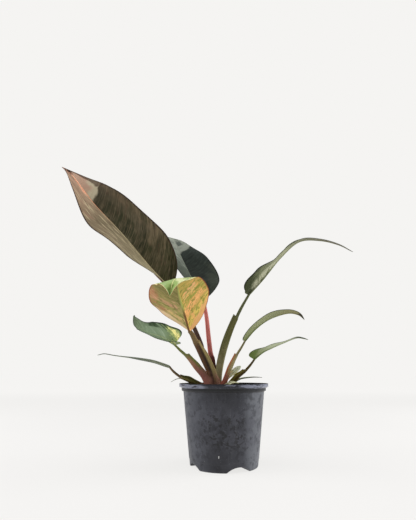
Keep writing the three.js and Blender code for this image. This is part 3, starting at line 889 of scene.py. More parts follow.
# Large bronze leaf with a pinkish tip, up to the left
BRONZE_LEAF = Leaf(
    "bronze_leaf", "bronze_leaf", "brown_stalk",
    Blade(
        midrib=[[-77, -6, 249], [-103, -4, 276], [-150, -1, 332], [-195, 1, 381], [-230, 2, 426],
                [-246, 3, 440]],
        upper_face=[[0.5, -0.69, 0.52], [0.46, -0.74, 0.49], [0.36, -0.83, 0.42], [0.46, -0.74, 0.48]],
        half_width=57.6, widest=0.34, blunt=1.02, slender=0.72, lobe=3, wave=(0.8, 3),
        fold_left=[39, 32, 22, 35, 36], fold_right=[34, 22, 18, 24, -15], curl=-6, rib=2.2, vein_gap=8.5,
    ),
    Stalk(
        path=[[-14, 5, 103], [-22, 4, 140], [-35, 2, 177], [-54, -2, 216], [-73, -5, 243], [-77, -6, 249]],
        upper_face=[[0.8, 0.3, 0.2], [0.8, -0.2, 0.4], [0.5, -0.69, 0.52]],
        section=[[0, 8, 4, 6, -2], [0.3, 5.5, 4, 3, -1], [0.42, 4.2, 4, 0.5, 2.5],
                 [0.9, 3.4, 3.2, 0.5, 2.5], [1, 3, 2.6, 0.5, 1.2]],
        sheath_end=0.34, free=3,
    ),
    Face(
        # The left half's lighter colours are painted sheen over the bronze.
        left="8a8468 6f634f a0806c", right="33331d 2f2f1f 37332a", streak="544837", vein="8b7a62",
        rib="a09474 ffae8c", edge="2e2219", vein_gain=0.24, streak_gain=0.3, roughness=0.36,
        edge_width=0.035, rib_turn=(0.45, 0.85),
        zones=(
            Zone("4a4334", (0.27, 0.7), (0.45, 0.78), soft=0.1, strength=0.6),
            # Painted sheen: lighter splashes along the right half's margin.
            Zone("594d3c", (0.22, 0.7), (0.72, 1.2), cover=0.8, soft=0.1, strength=0.85, seed=2, narrow=0.5,
                 blur=0.2),
            Zone("625540", (0.08, 0.27), (0.4, 1.2), cover=0.75, soft=0.05, strength=0.9, seed=3,
                 narrow=0.6, blur=0.2, dab=0.02),
            Zone("24230f", (-1, 0.045), (0.42, 1.2), soft=0.02, strength=0.9),
            Zone("212214", (0.03, 0.7), (0.02, 1.2), cover=0.55, soft=0.05, strength=0.7, seed=12,
                 narrow=0.55, blur=0.16, dab=0.02),
            Zone("5a3f35", (0.1, 0.7), (0.3, 1.2), cover=0.4, soft=0.08, strength=0.55, seed=7, narrow=0.9,
                 blur=0.2, dab=0.03),
            Zone("66604a", (0.22, 0.52), (-0.5, -0.02), soft=0.09, strength=0.5),
            # Painted sheen: pale splashes on the left half's foot.
            Zone("b9b296", (-1, 0.3), (-1.2, -0.3), cover=0.45, soft=0.05, strength=0.6, seed=5, narrow=1.2,
                 blur=0.2, dab=0.02),
            Zone("8f6c5c", (0.25, 0.75), (-1.2, -0.6), cover=0.6, soft=0.08, strength=0.55, seed=6,
                 blur=0.3, dab=0.02),
            # Painted reflection: the next two zones, a pale tip on the right half, tinged pink.
            Zone("b0a68d", (0.7, 1.2), (0.0, 1.2), soft=0.012, strength=0.92),
            Zone("9c7565", (0.775, 1.2), (0.05, 1.2), soft=0.03, strength=0.72),
            Zone("3c2b21", (0.68, 1.2), (0.62, 1.2), soft=0.06, strength=0.85),
            Zone("dd9678", (0.74, 1.2), (-0.22, 0.02), soft=0.03, strength=0.75),
            Zone("4d4032", (-1, 0.95), (-0.95, -0.06), cover=0.5, strength=0.55, seed=41, narrow=0.25,
                 blur=0.1, dab=0.26),
            Zone("b5a788", (-1, 0.9), (-1.0, -0.06), cover=0.42, strength=0.55, seed=43, narrow=0.25,
                 blur=0.1, dab=0.26),
            Zone("7c2f22", (-1, 0.02), (-0.12, 0.12), soft=0.015, strength=0.45),
            Zone("2e2219", (0.915, 1.2), soft=0.03),
        ),
    ),
    Face(
        left="5b4238 4f3c33 6a4a3c", streak="6b5143", vein="7b5c4a", rib="6e4a3c b5806a", edge="3c2820",
        roughness=0.5,
    ),
    StalkFace(
        keel="5a3d30", flank="3e2b24", lip="5d5138", inside="6a5c40", top="43312a", foot="7d4c44",
        stripe="553f33",
    ),
)

# Dark leaf behind it, with a painted grey green highlight over its tip
DARK_LEAF = Leaf(
    "dark_leaf", "dark_leaf", "pink_stalk",
    Blade(
        midrib=[[-29, 18, 237], [-44, 45, 268], [-61, 90, 309], [-87, 130, 371]],
        upper_face=[[0.45, -0.59, 0.67], [0.4, -0.62, 0.67], [0.37, -0.64, 0.67]], half_width=49.3,
        widest=0.43, blunt=0.78, slender=0.3, lobe=8, wave=(0.8, 2), fold_left=[25, 28, 20, 10],
        fold_right=[37, 18, 21, -3], curl=-6, rib=2.1, vein_gap=8.0,
    ),
    Stalk(
        path=[[-11, 13, 103], [-16, 14, 137], [-21, 16, 178], [-24, 17, 208], [-28, 18, 231],
              [-29, 18, 237]],
        upper_face=[[0.5, -0.6, 0.2], [0.45, -0.7, 0.3], [0.45, -0.59, 0.67]],
        section=[[0, 7, 4, 5, -2], [0.3, 4.5, 4, 3, -1], [0.42, 3.8, 3.6, 0.5, 2.5],
                 [0.9, 3.2, 3, 0.5, 2.2], [1, 2.8, 2.4, 0.5, 1.2]],
        sheath_end=0.34, free=3,
    ),
    Face(
        # The left half's lighter colours, palest at the tip, are painted light from that side.
        left="3e4439 50564b 84887c", right="1b1f19 1d211d 262b27", streak="2c332e", vein="4a524b",
        rib="5f6758 8d9384", edge="12140f", vein_gain=0.3, streak_gain=0.3, roughness=0.38, shade="0f120f",
        zones=(
            # Painted highlight: the next two zones, pale grey green over the left half's upper part and over
            # the tip.
            Zone("858a80", (0.47, 1.2), (-1.2, -0.03), cover=0.72, soft=0.03, strength=0.85, seed=5,
                 narrow=0.8, blur=0.3),
            Zone("7e8277", (0.76, 1.2), (0.0, 1.2), cover=0.95, soft=0.015, strength=0.95, seed=2),
            Zone("3a413b", (0.02, 1.2), (-1.2, -0.04), cover=0.4, soft=0.05, strength=0.6, seed=19,
                 narrow=2.4, blur=0.12, dab=0.18),
            Zone("999e93", (0.02, 0.9), (-1.2, -0.04), cover=0.3, soft=0.05, strength=0.5, seed=20,
                 narrow=2.4, blur=0.14, dab=0.18),
            Zone("3a403b", (0.85, 0.935), (0.09, 0.5), soft=0.02, strength=0.8),
            # Painted sheen: paler splashes on the right half's body.
            Zone("50564c", (0.05, 0.7), (0.1, 0.9), cover=0.3, soft=0.1, strength=0.5, seed=3, narrow=0.8,
                 blur=0.25),
            Zone("3a3f38", (0.86, 1.2), cover=0.5, soft=0.03, strength=0.7, seed=9, blur=0.2),
            Zone("35392f", (-0.1, 0.3), (0.55, 1.2), soft=0.12, strength=0.7),
        ),
    ),
    Face(
        left="4d5447 475045 4d5447", streak="59624f", vein="66705a", rib="7c5a4c 77806a", edge="2d332a",
        roughness=0.5,
    ),
    StalkFace(
        keel="a2453f", flank="a3524c", lip="8c4a44", inside="85443f", top="b8655e", foot="4c2c28",
        stripe="cf8a80", foot_end=0.42,
    ),
)

# Marbled leaf in front, which bends over and shows its under face
MARBLED_LEAF = Leaf(
    "marbled_leaf", "marbled_leaf", "brown_stalk",
    Blade(
        midrib=[[-47, -35, 183], [-53, -58, 204], [-58, -84, 222], [-60, -112, 237], [-63, -128, 227],
                [-64, -142, 209]],
        upper_face=[[-0.1, 0.75, 0.7], [-0.1, 0.6, 0.75], [-0.05, 0, 1], [-0.1, -0.8, 0.6]], half_width=38,
        widest=0.43, blunt=1, slender=0.97, wave=(0.4, 3), fold_left=[-5, 12, 7, -2, 50],
        fold_right=[33, 16, 0, -12, 51], rib=1.9, vein_gap=8.5, vein_lean=0.9,
    ),
    Stalk(
        path=[[-14, -9, 103], [-18, -14, 124], [-28, -20, 147], [-38, -27, 167], [-44, -33, 179],
              [-47, -35, 183]],
        upper_face=[[0.8, 0.3, 0.2], [0.5, 0.5, 0.4], [-0.1, 0.75, 0.7]],
        section=[[0, 8, 4.5, 6, -2], [0.5, 7, 4.5, 5, -2], [0.78, 5, 4, 3, 1], [0.86, 3.6, 3.4, 0.5, 2.5],
                 [1, 3, 2.6, 0.5, 1.2]],
        sheath_end=0.78, free=4,
    ),
    Face(
        left="7f9650 88a058 c4cb98", right="7f9650 7f9a54 a7bb86", streak="668648", vein="a9b678",
        rib="b4b87c d0cc94", edge="d6cf98", edge_width=0.08, vein_gain=0.3, roughness=0.4,
        zones=(
            Zone("d2c274", (-1, 0.66), cover=0.38, strength=0.75, seed=5),
            Zone("cf9a62", (0.1, 0.6), cover=0.3, strength=0.7, seed=9),
            Zone("8ba55f", (0.79, 1.2), (-1.2, 0.7), soft=0.03, strength=0.85),
            Zone("d9dcaa", (0.66, 0.78), (-0.75, -0.1), soft=0.03, strength=0.8),
            Zone("5a6c2c", (0.855, 1.2), (-0.3, 0.6), soft=0.03, strength=0.85),
        ),
    ),
    # Under face: orange and yellow marbling, its brightest sectors made brighter still as painted light
    # shining through the thin blade.
    Face(
        left="e6c566 c6ab5c b0a958", right="cdbd7c 96895a 82834e", streak="cdb66a", vein="b4b466",
        rib="7c5a3a a5aa60", edge="94503a", vein_gain=0.3, streak_gain=0.25, edge_width=0.022,
        roughness=0.42, shade="85813f", rib_turn=(0.2, 0.34),
        zones=(
            Zone("d8aa62", (0.24, 0.8), (-1.2, -0.55), cover=0.75, soft=0.06, strength=0.85, seed=7,
                 blur=0.2, dab=0.12),
            Zone("f8bd7c", (-1, 0.04), (-1.2, -0.1), soft=0.012),
            Zone("eed06c", (0.035, 0.105), (-1.2, 0.0), cover=0.9, soft=0.012, seed=8, dab=0.12),
            Zone("a8a04e", (0.05, 0.14), (-1.2, -0.2), cover=0.42, soft=0.012, seed=1, dab=0.1),
            Zone("e6b46c", (0.14, 0.185), (-1.2, -0.05), cover=0.9, soft=0.01, seed=2, dab=0.1),
            Zone("ffbe7c", (0.185, 0.26), (-0.8, -0.03), cover=0.92, soft=0.012, seed=3, dab=0.1),
            Zone("a89c50", (0.17, 0.3), (-1.2, -0.1), cover=0.36, soft=0.02, seed=13, narrow=2.4, dab=0.12),
            Zone("a8a451", (0.29, 0.355), (-1.2, 0.0), cover=0.85, soft=0.012, seed=4, dab=0.1),
            Zone("efc57e", (0.36, 0.405), (-0.65, -0.1), cover=0.9, soft=0.01, seed=5, dab=0.1),
            Zone("f0ba82", (0.415, 0.46), (-0.65, -0.15), cover=0.9, soft=0.01, seed=6, dab=0.1),
            Zone("8f9048", (0.4, 0.8), (-0.5, -0.02), cover=0.42, soft=0.03, seed=15, dab=0.1),
            Zone("e6c486", (0.075, 0.14), (0.1, 0.66), cover=0.85, soft=0.015, seed=9, dab=0.1),
            Zone("a7a260", (0.145, 0.205), (0.02, 1.2), cover=0.85, soft=0.015, seed=16, dab=0.1),
            Zone("cc9f7a", (0.205, 0.275), (0.2, 1.2), cover=0.88, soft=0.015, seed=10, dab=0.1),
            Zone("857c4c", (0.34, 0.8), (0.02, 1.2), cover=0.8, soft=0.02, seed=11, blur=0.2),
            Zone("c08262", (0.06, 0.36), (0.74, 1.2), cover=0.85, soft=0.06, strength=0.85, seed=14,
                 blur=0.2, dab=0.1),
            Zone("ffdcb0", (-1, 0.03), (0.35, 1.2), soft=0.02, strength=0.95),
            Zone("828838", (0.03, 0.5), (-0.95, -0.02), cover=0.45, strength=0.75, seed=21, narrow=1.7,
                 blur=0.07, dab=0.16),
            Zone("ffbe78", (0.0, 0.5), (-0.95, -0.02), cover=0.4, strength=0.8, seed=23, narrow=1.5,
                 blur=0.06, dab=0.14),
            Zone("6b703a", (0.03, 0.8), (0.03, 0.8), cover=0.44, strength=0.7, seed=25, narrow=1.8,
                 blur=0.08, dab=0.15),
            Zone("deb088", (0.0, 0.35), (0.1, 0.95), cover=0.34, strength=0.7, seed=27, narrow=1.8,
                 blur=0.08, dab=0.15),
        ),
    ),
    StalkFace(
        keel="5f4028", flank="36261a", lip="8f8052", inside="8a7a4e", top="7c6844", foot="90665a",
        stripe="57432a", lip_from=0.13,
    ),
)

# Grey green leaf on the left with a yellow splash at its foot
SPLASHED_LEAF = Leaf(
    "splashed_leaf", "splashed_leaf", "olive_stalk",
    Blade(
        midrib=[[-68, -18, 166], [-84, -24, 175], [-106, -30, 182], [-120, -36, 192], [-122, -40, 196],
                [-122, -44, 202]],
        upper_face=[[0.2, -0.2, 0.9], [0.25, -0.2, 0.9], [0.6, -0.2, 0.7]], half_width=26.7, widest=0.3,
        blunt=0.28, slender=0.4, lobe=5, wave=(0.8, 2), fold_left=[22, 1, 2, 0, -14],
        fold_right=[63, 42, 33, 22, 19], rib=1.5, vein_gap=5.0,
    ),
    Stalk(
        path=[[-21, -8, 103], [-28, -8, 121], [-39, -11, 135], [-50, -14, 149], [-60, -16, 158],
              [-68, -18, 166]],
        upper_face=[[0.7, -0.1, 0.5], [0.5, -0.1, 0.8], [0.2, -0.2, 0.9]],
        section=[[0, 6, 3.5, 7, -1], [0.45, 6, 3.5, 6.5, -1], [0.68, 4.5, 3, 4, 0],
                 [0.78, 2.6, 2.4, 0.5, 1.6], [1, 2.2, 2, 0.3, 1]],
        sheath_end=0.68, free=4,
    ),
    Face(
        left="74865f 72856a 5e6b50", right="72825a 76896d 5c684d", streak="8a9c80", vein="8d9d84",
        rib="9aa57a 8a977a", edge="1e2a17", vein_gain=0.22, streak_gain=0.45, shade="4f6046",
        edge_width=0.07,
        zones=(
            # Painted fold shadow: a dark band along the right half, inside its margin.
            Zone("2c3f25", (0.0, 0.42), (0.6, 0.95), cover=0.9, soft=0.04, strength=0.95, seed=4,
                 narrow=0.6, blur=0.2, dab=0.02),
            # Painted highlight: paler streaks over the middle of the blade.
            Zone("a4b49c", (0.1, 0.6), (-0.1, 0.5), cover=0.5, soft=0.06, strength=0.65, seed=6, narrow=0.7,
                 blur=0.2, dab=0.03),
            Zone("95a663", (-0.4, 0.08), (0.05, 1.2), cover=0.6, soft=0.03, strength=0.85, seed=9),
            Zone("fff29c", (-0.12, -0.01), (0.42, 0.84), cover=0.8, soft=0.02, strength=0.95, seed=31,
                 narrow=2.2, blur=0.05, dab=0.2),
            Zone("cdd488", (-0.1, 0.1), (0.1, 0.9), cover=0.36, soft=0.02, strength=0.9, seed=33,
                 narrow=2.2, blur=0.06, dab=0.2),
            Zone("47582f", (-0.14, 0.1), (0.1, 0.95), cover=0.3, soft=0.02, strength=0.8, seed=35,
                 narrow=2.2, blur=0.08, dab=0.15),
            Zone("414b35", (0.8, 1.2), soft=0.06, strength=0.7),
        ),
    ),
    Face(
        left="6f8560 637659 5c6c52", right="6f8560 66795c 5c6c52", streak="879a78", vein="8a9c7c",
        rib="8c9a70 7c8b6c", edge="2f3d2b", roughness=0.45,
        zones=(
            Zone("a8b873", (-1, 0.3), cover=0.5, strength=0.8, seed=3),
            Zone("dcd27c", (-1, 0.22), cover=0.46, strength=0.95, seed=8),
        ),
    ),
    StalkFace(
        keel="a8745e", flank="a0705a", lip="66702a", inside="59612c", top="66703c", foot="a86e66",
        stripe="85814a", foot_end=0.42,
    ),
)

# Thin leaf low on the left
LOW_LEFT_LEAF = Leaf(
    "low_left_leaf", "green_leaf", "olive_stalk",
    Blade(
        midrib=[[-76, -10, 136], [-99, -14, 144], [-127, -18, 148], [-151, -22, 151], [-165, -24, 153],
                [-173, -26, 151]],
        upper_face=[[0.1, 0.05, 1], [0.1, 0, 1], [0, 0, 1]], half_width=22, widest=0.35, blunt=0.5,
        slender=1.1, lobe=5, wave=(0.4, 2), fold_left=[-14, -4, 2], fold_right=[10, 4, 0], curl=-3, rib=1.4,
        vein_gap=4.5,
    ),
    Stalk(
        path=[[-20, 4, 102], [-30, 3, 106], [-38, 1, 110], [-50, -4, 117], [-61, -8, 122], [-70, -9, 129],
              [-76, -10, 136]],
        upper_face=[[0.5, -0.2, 0.7], [0.3, -0.3, 0.8], [0.1, -0.1, 1]],
        section=[[0, 6, 2.8, 5, -1], [0.45, 7, 2.8, 4, -1.4], [0.66, 5, 2.4, 2, 0],
                 [0.74, 2.4, 2.1, 0.4, 1.5], [1, 2.1, 1.9, 0.3, 1]],
        sheath_end=0.66, free=3,
    ),
    Face(
        left="a6ac92 6e7566 5a6154", right="969c82 646c5c 50584b", streak="7f8974", vein="8b9480",
        rib="8a927a 7a8272", edge="3a4234", shade="565e4b",
    ),
    Face(
        left="e2e9cc 8f9783 6b7265", streak="a7ae98", vein="a9b19a", rib="ccd4b0 858d7a", edge="414a3a",
        roughness=0.48, vein_gain=0.15, streak_gain=0.2, shade="8b9380",
    ),
    StalkFace(
        keel="7d6136", flank="74602f", lip="9a9c5e", inside="5c6834", top="4f3d26", foot="8a6250",
        stripe="8a7148",
    ),
)

# Tall leaf on the right, which arches over
TALL_RIGHT_LEAF = Leaf(
    "tall_right_leaf", "green_leaf", "olive_stalk",
    Blade(
        midrib=[[38, 10, 242], [59, 8, 265], [86, 4, 298], [114, 0, 321], [143, -4, 321], [169, -8, 313],
                [188, -12, 301]],
        upper_face=[[-0.76, 0, 0.64], [-0.74, 0, 0.6], [0.05, -0.31, 0.92], [0.45, -0.37, 0.8]],
        half_width=29, widest=0.25, blunt=0.57, slender=0.97, lobe=2, wave=(0.3, 3),
        fold_left=[28, 24, 5, 8, 8, 8, 8], fold_right=[43, 31, 5, 10, 8, 10, 11], rib=1.7, vein_gap=5.5,
    ),
    Stalk(
        path=[[-7, 5, 103], [-6, 7, 126], [1, 8, 159], [12, 9, 191], [26, 10, 221], [38, 10, 242]],
        upper_face=[[-0.7, 0.1, 0.2], [-0.9, 0.1, 0.3], [-0.76, 0, 0.64]],
        section=[[0, 6.2, 4.5, 5, -1], [0.4, 6.8, 4.2, 6, -1], [0.72, 5.4, 3.6, 5.4, 0],
                 [0.76, 2.9, 2.7, 1, 2], [1, 2.3, 2.2, 0.5, 1.4]],
        sheath_end=0.72, free=5,
    ),
    Face(
        left="3c4329 3a412b 5b5a44", streak="545c3d", vein="6a7050", rib="8a8e6a 8c8a6e", edge="23271a",
        zones=(
            Zone("8b8b74", (0.4, 1.2), cover=0.4, strength=0.6, seed=4),
        ),
    ),
    Face(
        left="566040 7a7e60 6c6652", right="4a5234 858868 6c6652", streak="989a7c", vein="a2a384",
        rib="6a6f4c 8e8f78", edge="1c2014", roughness=0.45, edge_width=0.06, vein_gain=0.08,
        streak_gain=0.15, shade="6c7052",
        zones=(
            Zone("b0b096", (0.06, 0.5), (0.05, 0.5), cover=0.8, soft=0.1, strength=0.8, seed=2, narrow=0.8,
                 blur=0.15),
            Zone("363c26", (-1, 0.07), soft=0.05, strength=0.75),
            Zone("4e4433", (0.5, 1.2), (0.3, 1.2), cover=0.6, soft=0.08, strength=0.6, seed=8),
        ),
    ),
    StalkFace(
        keel="6b683c", flank="5f5c36", lip="4c4b28", inside="6a6a3c", top="4b5036", foot="948c68",
        stripe="7a7a4e", foot_end=0.36,
    ),
)

# Middle leaf on the right
MID_RIGHT_LEAF = Leaf(
    "mid_right_leaf", "green_leaf", "olive_stalk",
    Blade(
        midrib=[[31, 2, 173], [44, 0, 188], [59, -2, 200], [73, -4, 207], [95, -7, 212], [108, -9, 209],
                [115, -10, 202]],
        upper_face=[[-0.6, 0, 0.75], [-0.5, 0, 0.85], [0.1, 0, 1], [0.6, 0, 0.8]], half_width=23,
        widest=0.35, blunt=0.45, slender=0.8, lobe=5, wave=(0.3, 2), fold_left=[16, 12, 6],
        fold_right=[18, 15, 13], rib=1.4, vein_gap=4.5,
    ),
    Stalk(
        path=[[-3, -2, 104], [3, -1, 116], [10, 0, 134], [18, 1, 151], [26, 2, 164], [31, 2, 173]],
        upper_face=[[-0.8, 0.1, 0.3], [-0.8, 0.1, 0.4], [-0.6, 0, 0.75]],
        section=[[0, 5, 3, 4.5, -1], [0.4, 4.4, 2.8, 4.4, -1], [0.66, 3.4, 2.4, 3.4, 0],
                 [0.71, 2.1, 2, 0.6, 1.6], [1, 1.9, 1.8, 0.3, 1]],
        sheath_end=0.66, free=4,
    ),
    Face(
        left="4c5a34 4d5836 4e4a30", streak="5f6c42", vein="76825a", rib="8c956a 7a7450", edge="2c3220",
        zones=(
            Zone("8f7d3e", (0.55, 0.95), cover=0.5, strength=0.8, seed=2),
        ),
    ),
    Face(
        left="7f8858 90956b 8b835c", right="7f8858 969b70 8b835c", streak="aaac7c", vein="b8ba8e",
        rib="7e8858 8c8a64", edge="2f3520", roughness=0.46, vein_gain=0.08, streak_gain=0.2, shade="7d8256",
        edge_width=0.05,
        zones=(
            Zone("a39a68", (0.6, 0.84), cover=0.5, strength=0.6, seed=5),
            Zone("2c2219", (0.86, 1.2), soft=0.03, strength=0.9),
        ),
    ),
    StalkFace(
        keel="94936a", flank="a08c60", lip="b0552a", inside="8a6a44", top="79714c", foot="a8625a",
        stripe="a3a078", foot_end=0.3,
    ),
)

# Low leaf on the right
LOW_RIGHT_LEAF = Leaf(
    "low_right_leaf", "green_leaf", "olive_stalk",
    Blade(
        midrib=[[43, -6, 146], [55, -10, 156], [67, -14, 162], [81, -18, 168], [101, -24, 175],
                [108, -26, 174], [115, -28, 172]],
        upper_face=[[-0.5, 0, 0.8], [-0.4, 0, 0.9], [0, 0, 1]], half_width=20, widest=0.3, blunt=0.4,
        slender=0.8, lobe=4, wave=(0.3, 2), fold_left=[18, 4, 2, 4], fold_right=[42, 14, 4, 10], rib=1.3,
        vein_gap=4.5,
    ),
    Stalk(
        path=[[-4, -7, 103], [4, -7, 106], [10, -7, 111], [20, -8, 122], [30, -7, 130], [38, -6, 139],
              [43, -6, 146]],
        upper_face=[[-0.6, -0.1, 0.6], [-0.5, -0.1, 0.8], [-0.5, 0, 0.8]],
        section=[[0, 5, 2.8, 4.5, -1], [0.45, 5.5, 2.8, 4.5, -1], [0.64, 4.5, 2.4, 3.5, 0],
                 [0.73, 2.4, 2.1, 0.6, 1.6], [1, 2, 1.9, 0.3, 1]],
        sheath_end=0.64, free=3,
    ),
    Face(
        left="475634 4c5a3a 414a34", streak="5f6f48", vein="75835c", rib="87936a 72785a", edge="2b3422",
    ),
    Face(
        left="8f9a68 a9b08d 7d8468", right="8a9660 b0b895 7d8468", streak="b6bf9c", vein="bcc3a2",
        rib="748350 9aa382", edge="2c3622", roughness=0.46, vein_gain=0.08, streak_gain=0.2, shade="8c9472",
        zones=(
            Zone("657b38", (-1, 0.05), soft=0.03, strength=0.85),
            Zone("3f4a2c", (0.78, 1.2), soft=0.04, strength=0.9),
        ),
    ),
    StalkFace(
        keel="3f2c16", flank="46351a", lip="6e6424", inside="736a2a", top="453712", foot="3f3414",
        stripe="5f5426",
    ),
)

LEAVES = (
    BRONZE_LEAF, DARK_LEAF, MARBLED_LEAF, SPLASHED_LEAF, LOW_LEFT_LEAF, TALL_RIGHT_LEAF, MID_RIGHT_LEAF,
    LOW_RIGHT_LEAF,
)


@dataclass(frozen=True)
class SmallLeaf:
    """A sprout or a dry scale leaf at the crown."""

    name: str
    blade: Blade
    face: Face

    def build(self) -> None:
        """Makes the piece and puts it in the place of its node."""
        skin = self.face.dress(f"{self.name}_skin")
        piece = self.blade.build(f"{self.name}_fine", [skin, skin, skin], SMALL_GRID)
        show(piece, self.name)


def scale_leaf(side: str, half_width: float, midrib: Rows, upper_face: Rows, folds: Row,
               face: Face) -> SmallLeaf:
    """A dry scale leaf.

    Args:
        side: Where it stands.
        half_width: Its half width.
        midrib: Points of its midrib.
        upper_face: The way that its upper face looks.
        folds: Its folds on the left and right.
        face: Its look.
    Returns:
        The leaf.
    """
    blade = Blade(midrib, upper_face, half_width, widest=0.4, blunt=0.5, slender=0.9, fold_left=folds[:1],
                  fold_right=folds[1:], rib=0.5, vein_gap=3.0)
    return SmallLeaf(f"scale_leaf_{side}", blade, face)


SMALL_LEAVES = (
    SmallLeaf(
        "sprout_leaf",
        Blade(
            midrib=[[-4, 5, 108], [4, 9, 116], [11, 12, 123], [19, 14, 131], [26, 16, 137]],
            upper_face=[[-0.5, -0.8, 0.5], [-0.3, -0.9, 0.3]], half_width=4.6, widest=0.72, blunt=1.2,
            slender=0.6, fold_left=[30], fold_right=[20], rib=0.5, vein_gap=3.0,
        ),
        Face(
            left="dbe2c8 e6ecd4 d4dabf", streak="e0e6d2", vein="b6c0a0", rib="c9d2b4 d2dabf", edge="b4be9c",
            shade="cbd3b6", vein_gain=0.15,
            zones=(Zone("c8b45a", (0.5, 0.72), cover=0.5, soft=0.05, strength=0.7, seed=2),),
        ),
    ),
    scale_leaf(
        "right", 2.4,
        [[-6, 2, 104], [11, 8, 110], [24, 10, 118], [34, 10, 120], [46, 10, 121], [56, 9, 120.5]],
        [[-0.4, -0.2, 0.9], [0, -0.2, 1]], [30, 20],
        Face("7a8468 8f9a7c 8a9274", streak="9a9d88", vein="595d46", rib="6f7358 7c806a", edge="5b5f49"),
    ),
    scale_leaf(
        "front", 2.6, [[-5, -8, 103], [3, -16, 110], [11, -20, 114], [21, -24, 113]],
        [[0.2, -0.9, 0.4], [0.2, -0.8, 0.6]], [20, 10],
        Face("c0c09c c9c9a8 b9b894", streak="dcdcc4", vein="9c9c74", rib="b0b088 c4c49c", edge="8f8f6a"),
    ),
    scale_leaf(
        "left", 2, [[-14, 4, 103], [-41, 14, 111], [-57, 15, 118.5], [-67, 15, 118.5], [-76, 15, 114]],
        [[0.3, -0.2, 0.9], [0, -0.2, 1]], [30, 20],
        Face("a0a090 b5b5a6 a5a596", streak="c5c5b8", vein="8d8d7c", rib="9c9c8c b0b0a0", edge="85857a"),
    ),
)


def lifted(x: float, y: float, z: float) -> float:
    """A height near the pot's foot, raised over the drain channels, in millimetres.

    Args:
        x: Place to the right.
        y: Place to the back.
        z: The height.
    Returns:
        The raised height.
    """
    radius = (CHANNEL_WIDTH ** 2 / 4 + CHANNEL_HEIGHT ** 2) / (2 * CHANNEL_HEIGHT)
    best = 0.0
    for turn in CHANNEL_TURNS:
        out = x * math.sin(turn) - y * math.cos(turn) - CHANNEL_START + 2
        aside = x * math.cos(turn) + y * math.sin(turn)
        if out > 0 and abs(aside) < CHANNEL_WIDTH / 2:
            arch = CHANNEL_HEIGHT - radius + math.sqrt(radius ** 2 - aside ** 2)
            best = max(best, arch * smooth(out / 4))
    return z + best * max(1 - z / FOOT_ZONE, 0.0)


def rounded(corners: Rows) -> list[tuple[float, float]]:
    """A profile with rounded corners and no long edges.

    Args:
        corners: Rows of radius, height and rounding.
    Returns:
        The profile's points.
    """
    points = []
    for index, (radius, height, cut) in enumerate(corners):
        corner = Vector((radius, height))
        if not cut:
            points.append(corner)
            continue
        start, end = (
            corner + (Vector(corners[index + step][:2]) - corner).normalized() * cut for step in (-1, 1)
        )
        for part in (0, 0.25, 0.5, 0.75, 1):
            points.append(start * (1 - part) ** 2 + corner * 2 * part * (1 - part) + end * part ** 2)
    fine = [points[0]]
    for point in points[1:]:
        origin = fine[-1]
        pieces = max(1, math.ceil((point - origin).length / LONGEST_EDGE))
        fine.extend(origin.lerp(point, step / pieces) for step in range(1, pieces + 1))
    return [(point.x, point.y) for point in fine]


def spun(profile: Rows, steps: int) -> Mesh:
    """Turns a profile about the Z axis.

    Args:
        profile: Rows of radius and height in millimetres.
        steps: Steps round the turn.
    Returns:
        The mesh, in millimetres.
    """
    mesh = bmesh.new()
    verts = [mesh.verts.new((radius, 0, height)) for radius, height in profile]
    edges = [mesh.edges.new(pair) for pair in zip(verts, verts[1:])]
    bmesh.ops.spin(mesh, geom=verts + edges, cent=(0, 0, 0), axis=(0, 0, 1), angle=2 * math.pi,
                   steps=steps, use_merge=True)
    bmesh.ops.remove_doubles(mesh, verts=mesh.verts[:], dist=SEAM)
    bmesh.ops.recalc_face_normals(mesh, faces=mesh.faces[:])
    return mesh


def shrink(mesh: Mesh) -> None:
    """Turns millimetres into metres."""
    bmesh.ops.scale(mesh, verts=mesh.verts[:], vec=(MM, MM, MM))


